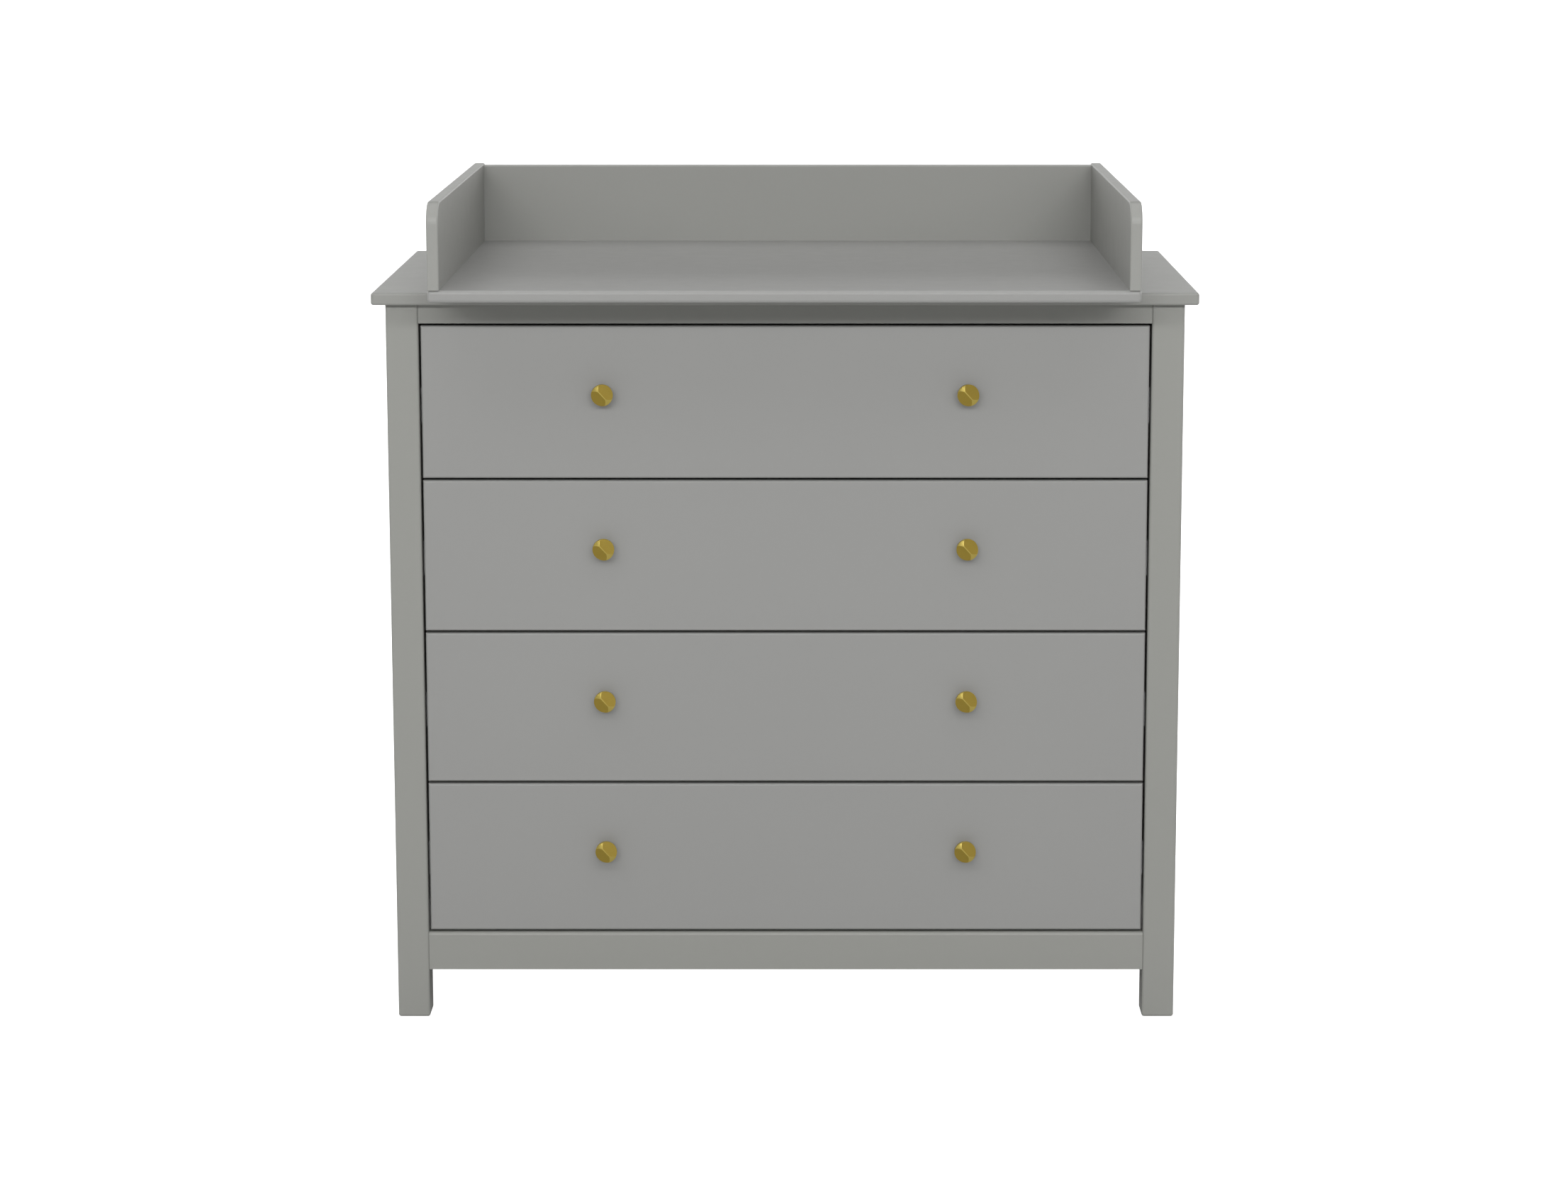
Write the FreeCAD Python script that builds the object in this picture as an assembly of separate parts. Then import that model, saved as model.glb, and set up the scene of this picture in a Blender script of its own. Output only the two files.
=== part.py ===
"""Changing dresser: a painted leg-and-rail carcass with a worktop, four drawers on
telescopic slides, and a changing tray that stands out ahead of the worktop.

Sizes are in millimetres. X runs to the right, Y to the back and Z up. The origin
is the middle of the footprint, on the floor. Drawer 1 is the top one.
"""

import FreeCAD, Part

import math
import os

# Worktop
TOP_WIDTH = 1000.0
TOP_DEPTH = 500.0
TOP_THICK = 15.0
TOP_CORNER_R = 4.0
TOP_EDGE_R = 3.0
TOP_UNDERSIDE = 898.0
OVERHANG_SIDE = 15.5
OVERHANG_FRONT = 16.0
OVERHANG_BACK = 16.0

# Legs and the glides let into their feet
LEG_WIDTH = 39.5
LEG_DEPTH = 40.0
LEG_EDGE_R = 3.0
GLIDE_R = 12.0
GLIDE_THICK = 4.0
GLIDE_PROUD = 1.0
GLIDE_STEM_R = 2.0
GLIDE_STEM_LENGTH = 14.0

# Rails, side panels, slide battens and back panel
RAIL_SETBACK = 1.5
RAIL_EDGE_R = 4.0
TOP_RAIL_HEIGHT = 24.0
TOP_RAIL_DEPTH = 70.0
BOTTOM_RAIL_UNDERSIDE = 62.0
BOTTOM_RAIL_HEIGHT = 48.0
BOTTOM_RAIL_THICK = 18.0
SIDE_PANEL_THICK = 16.0
SIDE_PANEL_SETBACK = 10.0
BATTEN_HEIGHT = 60.0
BACK_THICK = 3.0
BACK_REBATE = 8.0
BACK_EDGE_GAP = 0.5

# Drawers
DRAWER_COUNT = 4
FRONT_THICK = 18.0
FRONT_EDGE_R = 2.5
FRONT_SETBACK = 2.0
FRONT_SIDE_GAP = 2.5
FRONT_GAP = 3.0
BOX_BOARD_THICK = 12.0
BOX_BELOW_FRONT_EDGE = 12.0
BOX_UNDER_FRONT_TOP = 25.0
BOX_REAR_GAP = 17.0
BOX_EDGE_R = 1.5
BASE_THICK = 5.0
BASE_RISE = 10.0
BASE_GROOVE_DEPTH = 5.0

# Telescopic slides: cabinet, middle and drawer members, one inside the other
SLIDE_LENGTH = 400.0
SLIDE_WIDTH = 12.7
SLIDE_HEIGHT = 45.0
SLIDE_SHEET = 1.2
SLIDE_BEHIND_FRONT = 2.0
CABINET_MEMBER_LIP = 9.8
MIDDLE_MEMBER_WEB = 3.4
MIDDLE_MEMBER_LIP = 11.0
DRAWER_MEMBER_LIP = 6.2
BALL_TRACK = 2.3
BALL_CLEARANCE = 0.1
BALL_CAGE_LENGTH = 150.0
BALL_CAGE_WIDTH = 3.0

# Knobs: a turned stem under a domed head that has two sloping flats
KNOB_R = 13.25
KNOB_PITCH = 444.0
KNOB_ABOVE_MIDDLE = 11.0
KNOB_PROJECTION = 22.0
KNOB_RIM_BACK = 14.0
KNOB_FOOT_R = 8.0
KNOB_FOOT_THICK = 2.0
KNOB_NECK_R = 5.5
KNOB_DOME_R = 35.0
KNOB_FLAT_SLOPE = 20.0
KNOB_RIDGE_DROP = 0.43
KNOB_RIDGE_WIDTH = 1.0
KNOB_RIDGE_TURN = 132.5
KNOB_BORE_DEPTH = 10.0
KNOB_SCREW_R = 2.0
KNOB_SCREW_HEAD_R = 4.0
KNOB_SCREW_HEAD = 2.4

# Changing tray
TRAY_LEDGE = 80.0
TRAY_DEPTH = 606.0
TRAY_BOARD_THICK = 15.0
TRAY_LIP_R = 4.5
TRAY_END_R = 3.5
TRAY_WALL_THICK = 14.0
TRAY_WALL_HEIGHT = 103.0
TRAY_WALL_NOSE_R = 25.0
TRAY_WALL_EDGE_R = 2.0
TRAY_WALL_HEEL = 3.0
TRAY_BACK_HEIGHT = 101.0
TRAY_BACK_INSET = 3.0

# Wall brackets
BRACKET_PITCH = 600.0
BRACKET_WIDTH = 40.0
BRACKET_FLANGE = 14.0
BRACKET_DROP = 40.0
BRACKET_SHEET = 2.0
BRACKET_HOLE_R = 2.5
BRACKET_HOLE_DROP = 25.0

# Fasteners
FIT = 0.05
DOWEL_R = 4.0
DOWEL_LENGTH = 30.0
DOWEL_CHAMFER = 1.0
DOWEL_END_ROOM = 0.5
LONG_SCREW_R = 2.0
LONG_SCREW_LENGTH = 25.0
LONG_SCREW_HEAD_R = 4.0
LONG_SCREW_HEAD = 2.2
LONG_SCREW_SINK = 0.2
SHORT_SCREW_R = 1.75
SHORT_SCREW_LENGTH = 12.0
SHORT_SCREW_HEAD_R = 3.2
SHORT_SCREW_HEAD = 1.4
SCREW_TIP = 3.0
SCREW_END_ROOM = 0.3
RECESS_WIDTH = 0.9
RECESS_DEPTH = 0.8
RAIL_COUNTERBORE = 10.0
CAM_R = 7.5
CAM_DEPTH = 12.0
CAM_BACKSET = 24.0
CAM_BOLT_R = 3.0
CAM_BOLT_BITE = 10.0
DRAWER_CAM_R = 6.0
DRAWER_CAM_DEPTH = 9.0
DRAWER_CAM_BOLT_R = 2.5
RAIL_DOWEL_SPREAD = 10.0
TALL_RAIL_DOWEL_SPREAD = 14.0
RAIL_JOINT_INSET = 20.0
SIDE_DOWELS = 4
SIDE_DOWEL_MARGIN = 60.0
BACK_SCREWS_ACROSS = 6
BACK_SCREWS_UP = 4
BACK_SCREW_MARGIN = 44.0
WORKTOP_SCREWS = 4
WORKTOP_SCREW_MARGIN = 64.0
TRAY_WALL_SCREWS = 4
TRAY_WALL_SCREW_MARGIN = 60.0
TRAY_FIXING_INSET = 60.0
TRAY_FIXING_FRONT = 117.0
TRAY_FIXING_BACK = 103.0
TRAY_DOWEL_BITE = 9.0
TRAY_DOWEL_INSET = 28.0
SLIDE_SCREW_FRONT = 9.0
SLIDE_SCREW_REAR = 22.0
BATTEN_SCREW_INSET = 42.0
DRAWER_JOINT_INSET = 25.0
DRAWER_BACK_SCREW_INSET = 35.0
BASE_SCREWS = 3
BASE_SCREW_MARGIN = 60.0

# Places worked out from the sizes
BACK_Y = TRAY_DEPTH / 2
TRAY_FRONT_Y = BACK_Y - TRAY_DEPTH
TOP_FRONT_Y = BACK_Y - TOP_DEPTH
LEG_FRONT_Y = TOP_FRONT_Y + OVERHANG_FRONT
LEG_BACK_Y = BACK_Y - OVERHANG_BACK
LEG_OUTER_X = TOP_WIDTH / 2 - OVERHANG_SIDE
LEG_INNER_X = LEG_OUTER_X - LEG_WIDTH
RAIL_FRONT_Y = LEG_FRONT_Y + RAIL_SETBACK
RAIL_BACK_Y = LEG_BACK_Y - BACK_THICK
BAY_FRONT_Y = LEG_FRONT_Y + LEG_DEPTH
BAY_BACK_Y = LEG_BACK_Y - LEG_DEPTH
PANEL_OUTER_X = LEG_OUTER_X - SIDE_PANEL_SETBACK
PANEL_INNER_X = PANEL_OUTER_X - SIDE_PANEL_THICK
BOTTOM_RAIL_TOP = BOTTOM_RAIL_UNDERSIDE + BOTTOM_RAIL_HEIGHT
TOP_RAIL_UNDERSIDE = TOP_UNDERSIDE - TOP_RAIL_HEIGHT
DRAWER_OPENING = TOP_RAIL_UNDERSIDE - BOTTOM_RAIL_TOP
FRONT_HEIGHT = (DRAWER_OPENING - FRONT_GAP * (DRAWER_COUNT + 1)) / DRAWER_COUNT
FRONT_FACE_Y = LEG_FRONT_Y + FRONT_SETBACK
FRONT_REAR_Y = FRONT_FACE_Y + FRONT_THICK
FRONT_HALF_WIDTH = LEG_INNER_X - FRONT_SIDE_GAP
BOX_HEIGHT = FRONT_HEIGHT - BOX_BELOW_FRONT_EDGE - BOX_UNDER_FRONT_TOP
BOX_OUTER_X = LEG_INNER_X - SLIDE_WIDTH
BOX_INNER_X = BOX_OUTER_X - BOX_BOARD_THICK
BOX_BACK_Y = RAIL_BACK_Y - BOTTOM_RAIL_THICK - BOX_REAR_GAP
SLIDE_FRONT_Y = FRONT_REAR_Y + SLIDE_BEHIND_FRONT
SLIDE_BACK_Y = SLIDE_FRONT_Y + SLIDE_LENGTH
SLIDE_MIDDLE_Y = (BAY_FRONT_Y + BAY_BACK_Y) / 2
TOP_SURFACE = TOP_UNDERSIDE + TOP_THICK
TRAY_FLOOR = TOP_SURFACE + TRAY_BOARD_THICK
TRAY_OUTER_X = TOP_WIDTH / 2 - TRAY_LEDGE
TRAY_INNER_X = TRAY_OUTER_X - TRAY_WALL_THICK
TRAY_BACK_REAR_Y = BACK_Y - TRAY_BACK_INSET
TRAY_BACK_FRONT_Y = TRAY_BACK_REAR_Y - TRAY_WALL_THICK

TOUCH = 0.01
RIGHT = FreeCAD.Vector(1, 0, 0)
REARWARD = FreeCAD.Vector(0, 1, 0)
UP = FreeCAD.Vector(0, 0, 1)
SIDES = {"left": -1, "right": 1}

nodes = {}
drillings = []


def box(x_range, y_range, z_range):
    """A block between two values along each axis, given in either order."""
    low = FreeCAD.Vector(min(x_range), min(y_range), min(z_range))
    high = FreeCAD.Vector(max(x_range), max(y_range), max(z_range))
    size = high - low
    return Part.makeBox(size.x, size.y, size.z, low)


def edges_in(shape, x=None, y=None, z=None):
    """The edges of a shape that lie in every plane named."""
    picked = []
    for edge in shape.Edges:
        bounds = edge.BoundBox
        spans = (
            (x, bounds.XMin, bounds.XMax),
            (y, bounds.YMin, bounds.YMax),
            (z, bounds.ZMin, bounds.ZMax),
        )
        planes = [span for span in spans if span[0] is not None]
        if all(abs(low - at) < TOUCH and abs(high - at) < TOUCH for at, low, high in planes):
            picked.append(edge)
    return picked


def pointed(shape, place, direction):
    """A copy of a shape made along +Z at the origin, turned to a direction."""
    turned = shape.copy()
    turned.Placement = FreeCAD.Placement(place, FreeCAD.Rotation(UP, direction))
    return turned


def spread(count, low, high):
    """Evenly spaced places from low to high, both included."""
    step = (high - low) / (count - 1)
    return [low + step * index for index in range(count)]


def drilled(piece):
    """A piece with the hole of every fastener that passes through it."""
    bounds = piece.BoundBox
    hits = [drilling for drilling in drillings if bounds.intersect(drilling.BoundBox)]
    if not hits:
        return piece
    return piece.cut(hits)


def fasten(node, fastener, drilling):
    """Adds a fastener to its node, and its hole to those that pieces are drilled with."""
    nodes.setdefault(node, []).append(fastener)
    drillings.append(drilling)


# ---- Fasteners, each made along +Z from the face that it enters ----


def cross_recess(head_r, face):
    """The cutter for a cross recess in a screw head whose face is at a height."""
    reach = head_r * 0.6
    half = RECESS_WIDTH / 2
    depth = (face - TOUCH, face + RECESS_DEPTH)
    arm = box((-reach, reach), (-half, half), depth)
    return arm.fuse(box((-half, half), (-reach, reach), depth))


def screw_shank(radius, start, length):
    shank = Part.makeCylinder(radius, length - SCREW_TIP - start, UP * start)
    tip = Part.makeCone(radius, radius / 4, SCREW_TIP, UP * (length - SCREW_TIP))
    return shank.fuse(tip)


def long_screw():
    """Countersunk wood screw, sunk just below the face."""
    head_end = LONG_SCREW_SINK + LONG_SCREW_HEAD
    head = Part.makeCone(LONG_SCREW_HEAD_R, LONG_SCREW_R, LONG_SCREW_HEAD, UP * LONG_SCREW_SINK)
    screw = head.fuse(screw_shank(LONG_SCREW_R, head_end, LONG_SCREW_LENGTH))
    return screw.cut(cross_recess(LONG_SCREW_HEAD_R, LONG_SCREW_SINK))


def long_screw_hole():
    bore_r = LONG_SCREW_R + FIT
    mouth_r = LONG_SCREW_HEAD_R + FIT
    mouth = Part.makeCylinder(mouth_r, LONG_SCREW_SINK)
    sink = Part.makeCone(mouth_r, bore_r, LONG_SCREW_HEAD, UP * LONG_SCREW_SINK)
    bore = Part.makeCylinder(bore_r, LONG_SCREW_LENGTH + SCREW_END_ROOM)
    return mouth.fuse([sink, bore])


def short_screw():
    """Pan-head screw for sheet metal and thin board: its head stands on the face."""
    head = Part.makeCylinder(SHORT_SCREW_HEAD_R, SHORT_SCREW_HEAD, UP * -SHORT_SCREW_HEAD)
    head = head.makeFillet(SHORT_SCREW_HEAD / 2, edges_in(head, z=-SHORT_SCREW_HEAD))
    screw = head.fuse(screw_shank(SHORT_SCREW_R, 0, SHORT_SCREW_LENGTH))
    return screw.cut(cross_recess(SHORT_SCREW_HEAD_R, -SHORT_SCREW_HEAD))


def short_screw_hole():
    return Part.makeCylinder(SHORT_SCREW_R + FIT, SHORT_SCREW_LENGTH + SCREW_END_ROOM)


def dowel():
    """Grooved beech dowel, centred on the joint."""
    start = -DOWEL_LENGTH / 2
    pin = Part.makeCylinder(DOWEL_R, DOWEL_LENGTH, UP * start)
    return pin.makeChamfer(DOWEL_CHAMFER, edges_in(pin, z=start) + edges_in(pin, z=-start))


def dowel_hole():
    length = DOWEL_LENGTH + 2 * DOWEL_END_ROOM
    return Part.makeCylinder(DOWEL_R + FIT, length, UP * (-length / 2))


def cam_disc(radius, depth):
    """Die-cast locking disc, let in flush with the face."""
    disc = Part.makeCylinder(radius, depth)
    return disc.cut(cross_recess(radius, 0))


LONG_SCREW = long_screw()
LONG_SCREW_HOLE = long_screw_hole()
SHORT_SCREW = short_screw()
SHORT_SCREW_HOLE = short_screw_hole()
DOWEL = dowel()
DOWEL_HOLE = dowel_hole()


def add_long_screw(node, place, direction):
    screw = pointed(LONG_SCREW, place, direction)
    fasten(node, screw, pointed(LONG_SCREW_HOLE, place, direction))


def add_short_screw(node, place, direction):
    screw = pointed(SHORT_SCREW, place, direction)
    fasten(node, screw, pointed(SHORT_SCREW_HOLE, place, direction))


def add_dowel(place, direction):
    fasten("wood_dowels", pointed(DOWEL, place, direction), pointed(DOWEL_HOLE, place, direction))


def add_cam_lock(node, joint, inward, face_way, face_offset, disc_size, bolt_r):
    """A locking disc and its bolt across a joint.

    joint is where the bolt crosses it, and inward leads from there into the piece
    that holds the disc. face_way leads from the bolt to the face that the disc
    enters, face_offset away.
    """
    radius, depth = disc_size
    centre = joint + inward * CAM_BACKSET
    mouth = centre + face_way * face_offset
    disc = pointed(cam_disc(radius, depth), mouth, face_way * -1)
    disc_hole = pointed(Part.makeCylinder(radius + FIT, depth), mouth, face_way * -1)
    fasten(node, disc, disc_hole)
    start = joint - inward * CAM_BOLT_BITE
    reach = CAM_BOLT_BITE + CAM_BACKSET - radius
    bolt = Part.makeCylinder(bolt_r, reach - 2 * FIT)
    bolt_hole = Part.makeCylinder(bolt_r + FIT, reach)
    fasten(node, pointed(bolt, start, inward), pointed(bolt_hole, start, inward))


# ---- Carcass ----


def join_rail_end(x, line_y, line_z, spread_way, spread_by, face_way, face_offset):
    """Two dowels and a cam lock between a leg and the end of a rail."""
    joint = FreeCAD.Vector(x, line_y, line_z)
    inward = RIGHT * -math.copysign(1, x)
    add_dowel(joint + spread_way * spread_by, RIGHT)
    add_dowel(joint - spread_way * spread_by, RIGHT)
    add_cam_lock(
        "rail_cam_locks", joint, inward, face_way, face_offset, (CAM_R, CAM_DEPTH), CAM_BOLT_R
    )


def join_rails():
    flat_z = TOP_UNDERSIDE - TOP_RAIL_HEIGHT / 2
    tall_z = BOTTOM_RAIL_UNDERSIDE + BOTTOM_RAIL_HEIGHT / 2
    half_thick = BOTTOM_RAIL_THICK / 2
    for x in (-LEG_INNER_X, LEG_INNER_X):
        for outer_y, rearward in ((RAIL_FRONT_Y, 1), (RAIL_BACK_Y, -1)):
            flat_y = outer_y + rearward * RAIL_JOINT_INSET
            tall_y = outer_y + rearward * half_thick
            join_rail_end(
                x, flat_y, flat_z, REARWARD, RAIL_DOWEL_SPREAD, UP * -1, TOP_RAIL_HEIGHT / 2
            )
            join_rail_end(
                x, tall_y, tall_z, UP, TALL_RAIL_DOWEL_SPREAD, REARWARD * rearward, half_thick
            )


def join_side_panels():
    low = BOTTOM_RAIL_UNDERSIDE + SIDE_DOWEL_MARGIN
    high = TOP_UNDERSIDE - SIDE_DOWEL_MARGIN
    middle_x = (PANEL_INNER_X + PANEL_OUTER_X) / 2
    for x in (-middle_x, middle_x):
        for y in (BAY_FRONT_Y, BAY_BACK_Y):
            for z in spread(SIDE_DOWELS, low, high):
                add_dowel(FreeCAD.Vector(x, y, z), REARWARD)


def screw_back_panel():
    """Screws along the top and bottom rails and up both back legs."""
    reach_x = LEG_INNER_X - BACK_SCREW_MARGIN
    top_z = TOP_UNDERSIDE - TOP_RAIL_HEIGHT / 2
    bottom_z = BOTTOM_RAIL_UNDERSIDE + BOTTOM_RAIL_HEIGHT / 2
    leg_x = LEG_INNER_X + BACK_REBATE / 2
    places = [(x, z) for z in (bottom_z, top_z) for x in spread(BACK_SCREWS_ACROSS, -reach_x, reach_x)]
    leg_zs = spread(BACK_SCREWS_UP, bottom_z + BACK_SCREW_MARGIN, top_z - BACK_SCREW_MARGIN)
    places += [(x, z) for z in leg_zs for x in (-leg_x, leg_x)]
    for x, z in places:
        add_short_screw("short_wood_screws", FreeCAD.Vector(x, LEG_BACK_Y, z), REARWARD * -1)


def screw_worktop():
    """Screws up through both top rails, with their heads in deep counterbores."""
    reach_x = LEG_INNER_X - WORKTOP_SCREW_MARGIN
    middle = TOP_RAIL_DEPTH / 2
    for x in spread(WORKTOP_SCREWS, -reach_x, reach_x):
        for y in (RAIL_FRONT_Y + middle, RAIL_BACK_Y - middle):
            mouth = FreeCAD.Vector(x, y, TOP_RAIL_UNDERSIDE)
            add_long_screw("long_wood_screws", mouth + UP * RAIL_COUNTERBORE, UP)
            drillings.append(Part.makeCylinder(LONG_SCREW_HEAD_R + FIT, RAIL_COUNTERBORE, mouth))


def screw_tray():
    """Screws up through the worktop into the tray board, and through it into the walls."""
    fixing_x = TRAY_OUTER_X - TRAY_FIXING_INSET
    for x in (-fixing_x, fixing_x):
        for y in (TOP_FRONT_Y + TRAY_FIXING_FRONT, BACK_Y - TRAY_FIXING_BACK):
            add_long_screw("long_wood_screws", FreeCAD.Vector(x, y, TOP_UNDERSIDE), UP)
    wall_x = TRAY_OUTER_X - TRAY_WALL_THICK / 2
    low_y = TRAY_FRONT_Y + TRAY_WALL_SCREW_MARGIN
    for y in spread(TRAY_WALL_SCREWS, low_y, TRAY_BACK_FRONT_Y - TRAY_WALL_SCREW_MARGIN):
        for x in (-wall_x, wall_x):
            add_long_screw("long_wood_screws", FreeCAD.Vector(x, y, TOP_SURFACE), UP)
    back_y = TRAY_BACK_REAR_Y - TRAY_WALL_THICK / 2
    reach_x = TRAY_INNER_X - TRAY_WALL_SCREW_MARGIN
    for x in spread(TRAY_WALL_SCREWS, -reach_x, reach_x):
        add_long_screw("long_wood_screws", FreeCAD.Vector(x, back_y, TOP_SURFACE), UP)
    dowel_x = TRAY_INNER_X + TRAY_DOWEL_BITE - DOWEL_LENGTH / 2
    for x in (-dowel_x, dowel_x):
        for z in (TRAY_FLOOR + TRAY_DOWEL_INSET, TRAY_FLOOR + TRAY_BACK_HEIGHT - TRAY_DOWEL_INSET):
            add_dowel(FreeCAD.Vector(x, back_y, z), RIGHT)


def make_legs():
    for side, sign in SIDES.items():
        x_range = (sign * LEG_INNER_X, sign * LEG_OUTER_X)
        for end, y0 in (("front", LEG_FRONT_Y), ("rear", BAY_BACK_Y)):
            y1 = y0 + LEG_DEPTH
            leg = box(x_range, (y0, y1), (GLIDE_PROUD, TOP_UNDERSIDE))
            rounded = edges_in(leg, z=GLIDE_PROUD)
            for x in x_range:
                for y in (y0, y1):
                    rounded += edges_in(leg, x=x, y=y)
            leg = leg.makeFillet(LEG_EDGE_R, rounded)
            foot = FreeCAD.Vector(sum(x_range) / 2, (y0 + y1) / 2, 0)
            leg = leg.cut(glide(foot, FIT))
            if end == "rear":
                rebate_x = (sign * (LEG_INNER_X - LEG_EDGE_R), sign * (LEG_INNER_X + BACK_REBATE))
                leg = leg.cut(box(rebate_x, (RAIL_BACK_Y, y1), (BOTTOM_RAIL_UNDERSIDE, TOP_UNDERSIDE)))
            nodes[f"{end}_leg_{side}"] = [drilled(leg)]
            nodes.setdefault("foot_glides", []).append(glide(foot, 0))


def glide(foot, room):
    """Nylon disc with a driven stem; room opens it out into its hole in the leg."""
    disc = Part.makeCylinder(GLIDE_R + room, GLIDE_THICK, foot)
    stem = Part.makeCylinder(GLIDE_STEM_R + room, GLIDE_THICK + GLIDE_STEM_LENGTH + room, foot)
    return disc.fuse(stem)


def make_rails():
    across = (-LEG_INNER_X, LEG_INNER_X)
    flat_z = (TOP_RAIL_UNDERSIDE, TOP_UNDERSIDE)
    tall_z = (BOTTOM_RAIL_UNDERSIDE, BOTTOM_RAIL_TOP)
    front_top = box(across, (RAIL_FRONT_Y, RAIL_FRONT_Y + TOP_RAIL_DEPTH), flat_z)
    rear_top = box(across, (RAIL_BACK_Y - TOP_RAIL_DEPTH, RAIL_BACK_Y), flat_z)
    front_bottom = box(across, (RAIL_FRONT_Y, RAIL_FRONT_Y + BOTTOM_RAIL_THICK), tall_z)
    rear_bottom = box(across, (RAIL_BACK_Y - BOTTOM_RAIL_THICK, RAIL_BACK_Y), tall_z)
    upper_edge = edges_in(front_bottom, y=RAIL_FRONT_Y, z=BOTTOM_RAIL_TOP)
    front_bottom = front_bottom.makeFillet(RAIL_EDGE_R, upper_edge)
    nodes["top_front_rail"] = [drilled(front_top)]
    nodes["top_rear_rail"] = [drilled(rear_top)]
    nodes["bottom_front_rail"] = [drilled(front_bottom)]
    nodes["bottom_rear_rail"] = [drilled(rear_bottom)]


def make_panels():
    up = (BOTTOM_RAIL_UNDERSIDE, TOP_UNDERSIDE)
    for side, sign in SIDES.items():
        x_range = (sign * PANEL_INNER_X, sign * PANEL_OUTER_X)
        panel = box(x_range, (BAY_FRONT_Y, BAY_BACK_Y), up)
        nodes[f"side_panel_{side}"] = [drilled(panel)]
    back_x = LEG_INNER_X + BACK_REBATE - BACK_EDGE_GAP
    nodes["back_panel"] = [drilled(box((-back_x, back_x), (RAIL_BACK_Y, LEG_BACK_Y), up))]


def make_battens(slide_zs):
    """Boards that carry the slides flush with the legs' inner faces."""
    half = BATTEN_HEIGHT / 2
    for z in slide_zs:
        for sign in SIDES.values():
            for y in (BAY_FRONT_Y + BATTEN_SCREW_INSET, BAY_BACK_Y - BATTEN_SCREW_INSET):
                place = FreeCAD.Vector(sign * LEG_INNER_X, y, z)
                add_long_screw("long_wood_screws", place, RIGHT * sign)
    battens = []
    for z in slide_zs:
        for sign in SIDES.values():
            x_range = (sign * LEG_INNER_X, sign * PANEL_INNER_X)
            battens.append(drilled(box(x_range, (BAY_FRONT_Y, BAY_BACK_Y), (z - half, z + half))))
    nodes["slide_battens"] = battens


def make_worktop():
    half = TOP_WIDTH / 2
    top = box((-half, half), (TOP_FRONT_Y, BACK_Y), (TOP_UNDERSIDE, TOP_SURFACE))
    corners = []
    for x in (-half, half):
        for y in (TOP_FRONT_Y, BACK_Y):
            corners += edges_in(top, x=x, y=y)
    top = top.makeFillet(TOP_CORNER_R, corners)
    rims = edges_in(top, z=TOP_SURFACE) + edges_in(top, z=TOP_UNDERSIDE)
    nodes["worktop"] = [drilled(top.makeFillet(TOP_EDGE_R, rims))]


def make_wall_brackets():
    """Steel angles under the worktop's rear overhang, with a hole for the wall screw."""
    hole_z = TOP_UNDERSIDE - BRACKET_HOLE_DROP
    flange_z = (TOP_UNDERSIDE - BRACKET_SHEET, TOP_UNDERSIDE)
    for x in (-BRACKET_PITCH / 2, BRACKET_PITCH / 2):
        x_range = (x - BRACKET_WIDTH / 2, x + BRACKET_WIDTH / 2)
        flange = box(x_range, (BACK_Y - BRACKET_FLANGE, BACK_Y), flange_z)
        plate = box(x_range, (BACK_Y - BRACKET_SHEET, BACK_Y), (TOP_UNDERSIDE - BRACKET_DROP, TOP_UNDERSIDE))
        hole_start = FreeCAD.Vector(x, BACK_Y - BRACKET_FLANGE, hole_z)
        hole = Part.makeCylinder(BRACKET_HOLE_R, 2 * BRACKET_FLANGE, hole_start, REARWARD)
        screw_y = BACK_Y - (BRACKET_FLANGE + BRACKET_SHEET) / 2
        add_short_screw(
            "short_wood_screws", FreeCAD.Vector(x, screw_y, TOP_UNDERSIDE - BRACKET_SHEET), UP
        )
        bracket = drilled(flange.fuse(plate).removeSplitter().cut(hole))
        nodes.setdefault("wall_brackets", []).append(bracket)


# ---- Changing tray ----


def make_tray():
    board = box((-TRAY_OUTER_X, TRAY_OUTER_X), (TRAY_FRONT_Y, BACK_Y), (TOP_SURFACE, TRAY_FLOOR))
    lip = edges_in(board, y=TRAY_FRONT_Y, z=TRAY_FLOOR) + edges_in(board, y=TRAY_FRONT_Y, z=TOP_SURFACE)
    board = board.makeFillet(TRAY_LIP_R, lip)
    ends = []
    for x in (-TRAY_OUTER_X, TRAY_OUTER_X):
        ends += edges_in(board, x=x, z=TOP_SURFACE)
    nodes["tray_board"] = [drilled(board.makeFillet(TRAY_END_R, ends))]

    for side, sign in SIDES.items():
        nodes[f"tray_wall_{side}"] = [drilled(tray_wall(sign))]

    back_z = (TRAY_FLOOR, TRAY_FLOOR + TRAY_BACK_HEIGHT)
    back = box((-TRAY_INNER_X, TRAY_INNER_X), (TRAY_BACK_FRONT_Y, TRAY_BACK_REAR_Y), back_z)
    rims = edges_in(back, y=TRAY_BACK_FRONT_Y, z=back_z[1]) + edges_in(back, y=TRAY_BACK_REAR_Y, z=back_z[1])
    nodes["tray_back_wall"] = [drilled(back.makeFillet(TRAY_WALL_EDGE_R, rims))]


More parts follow.
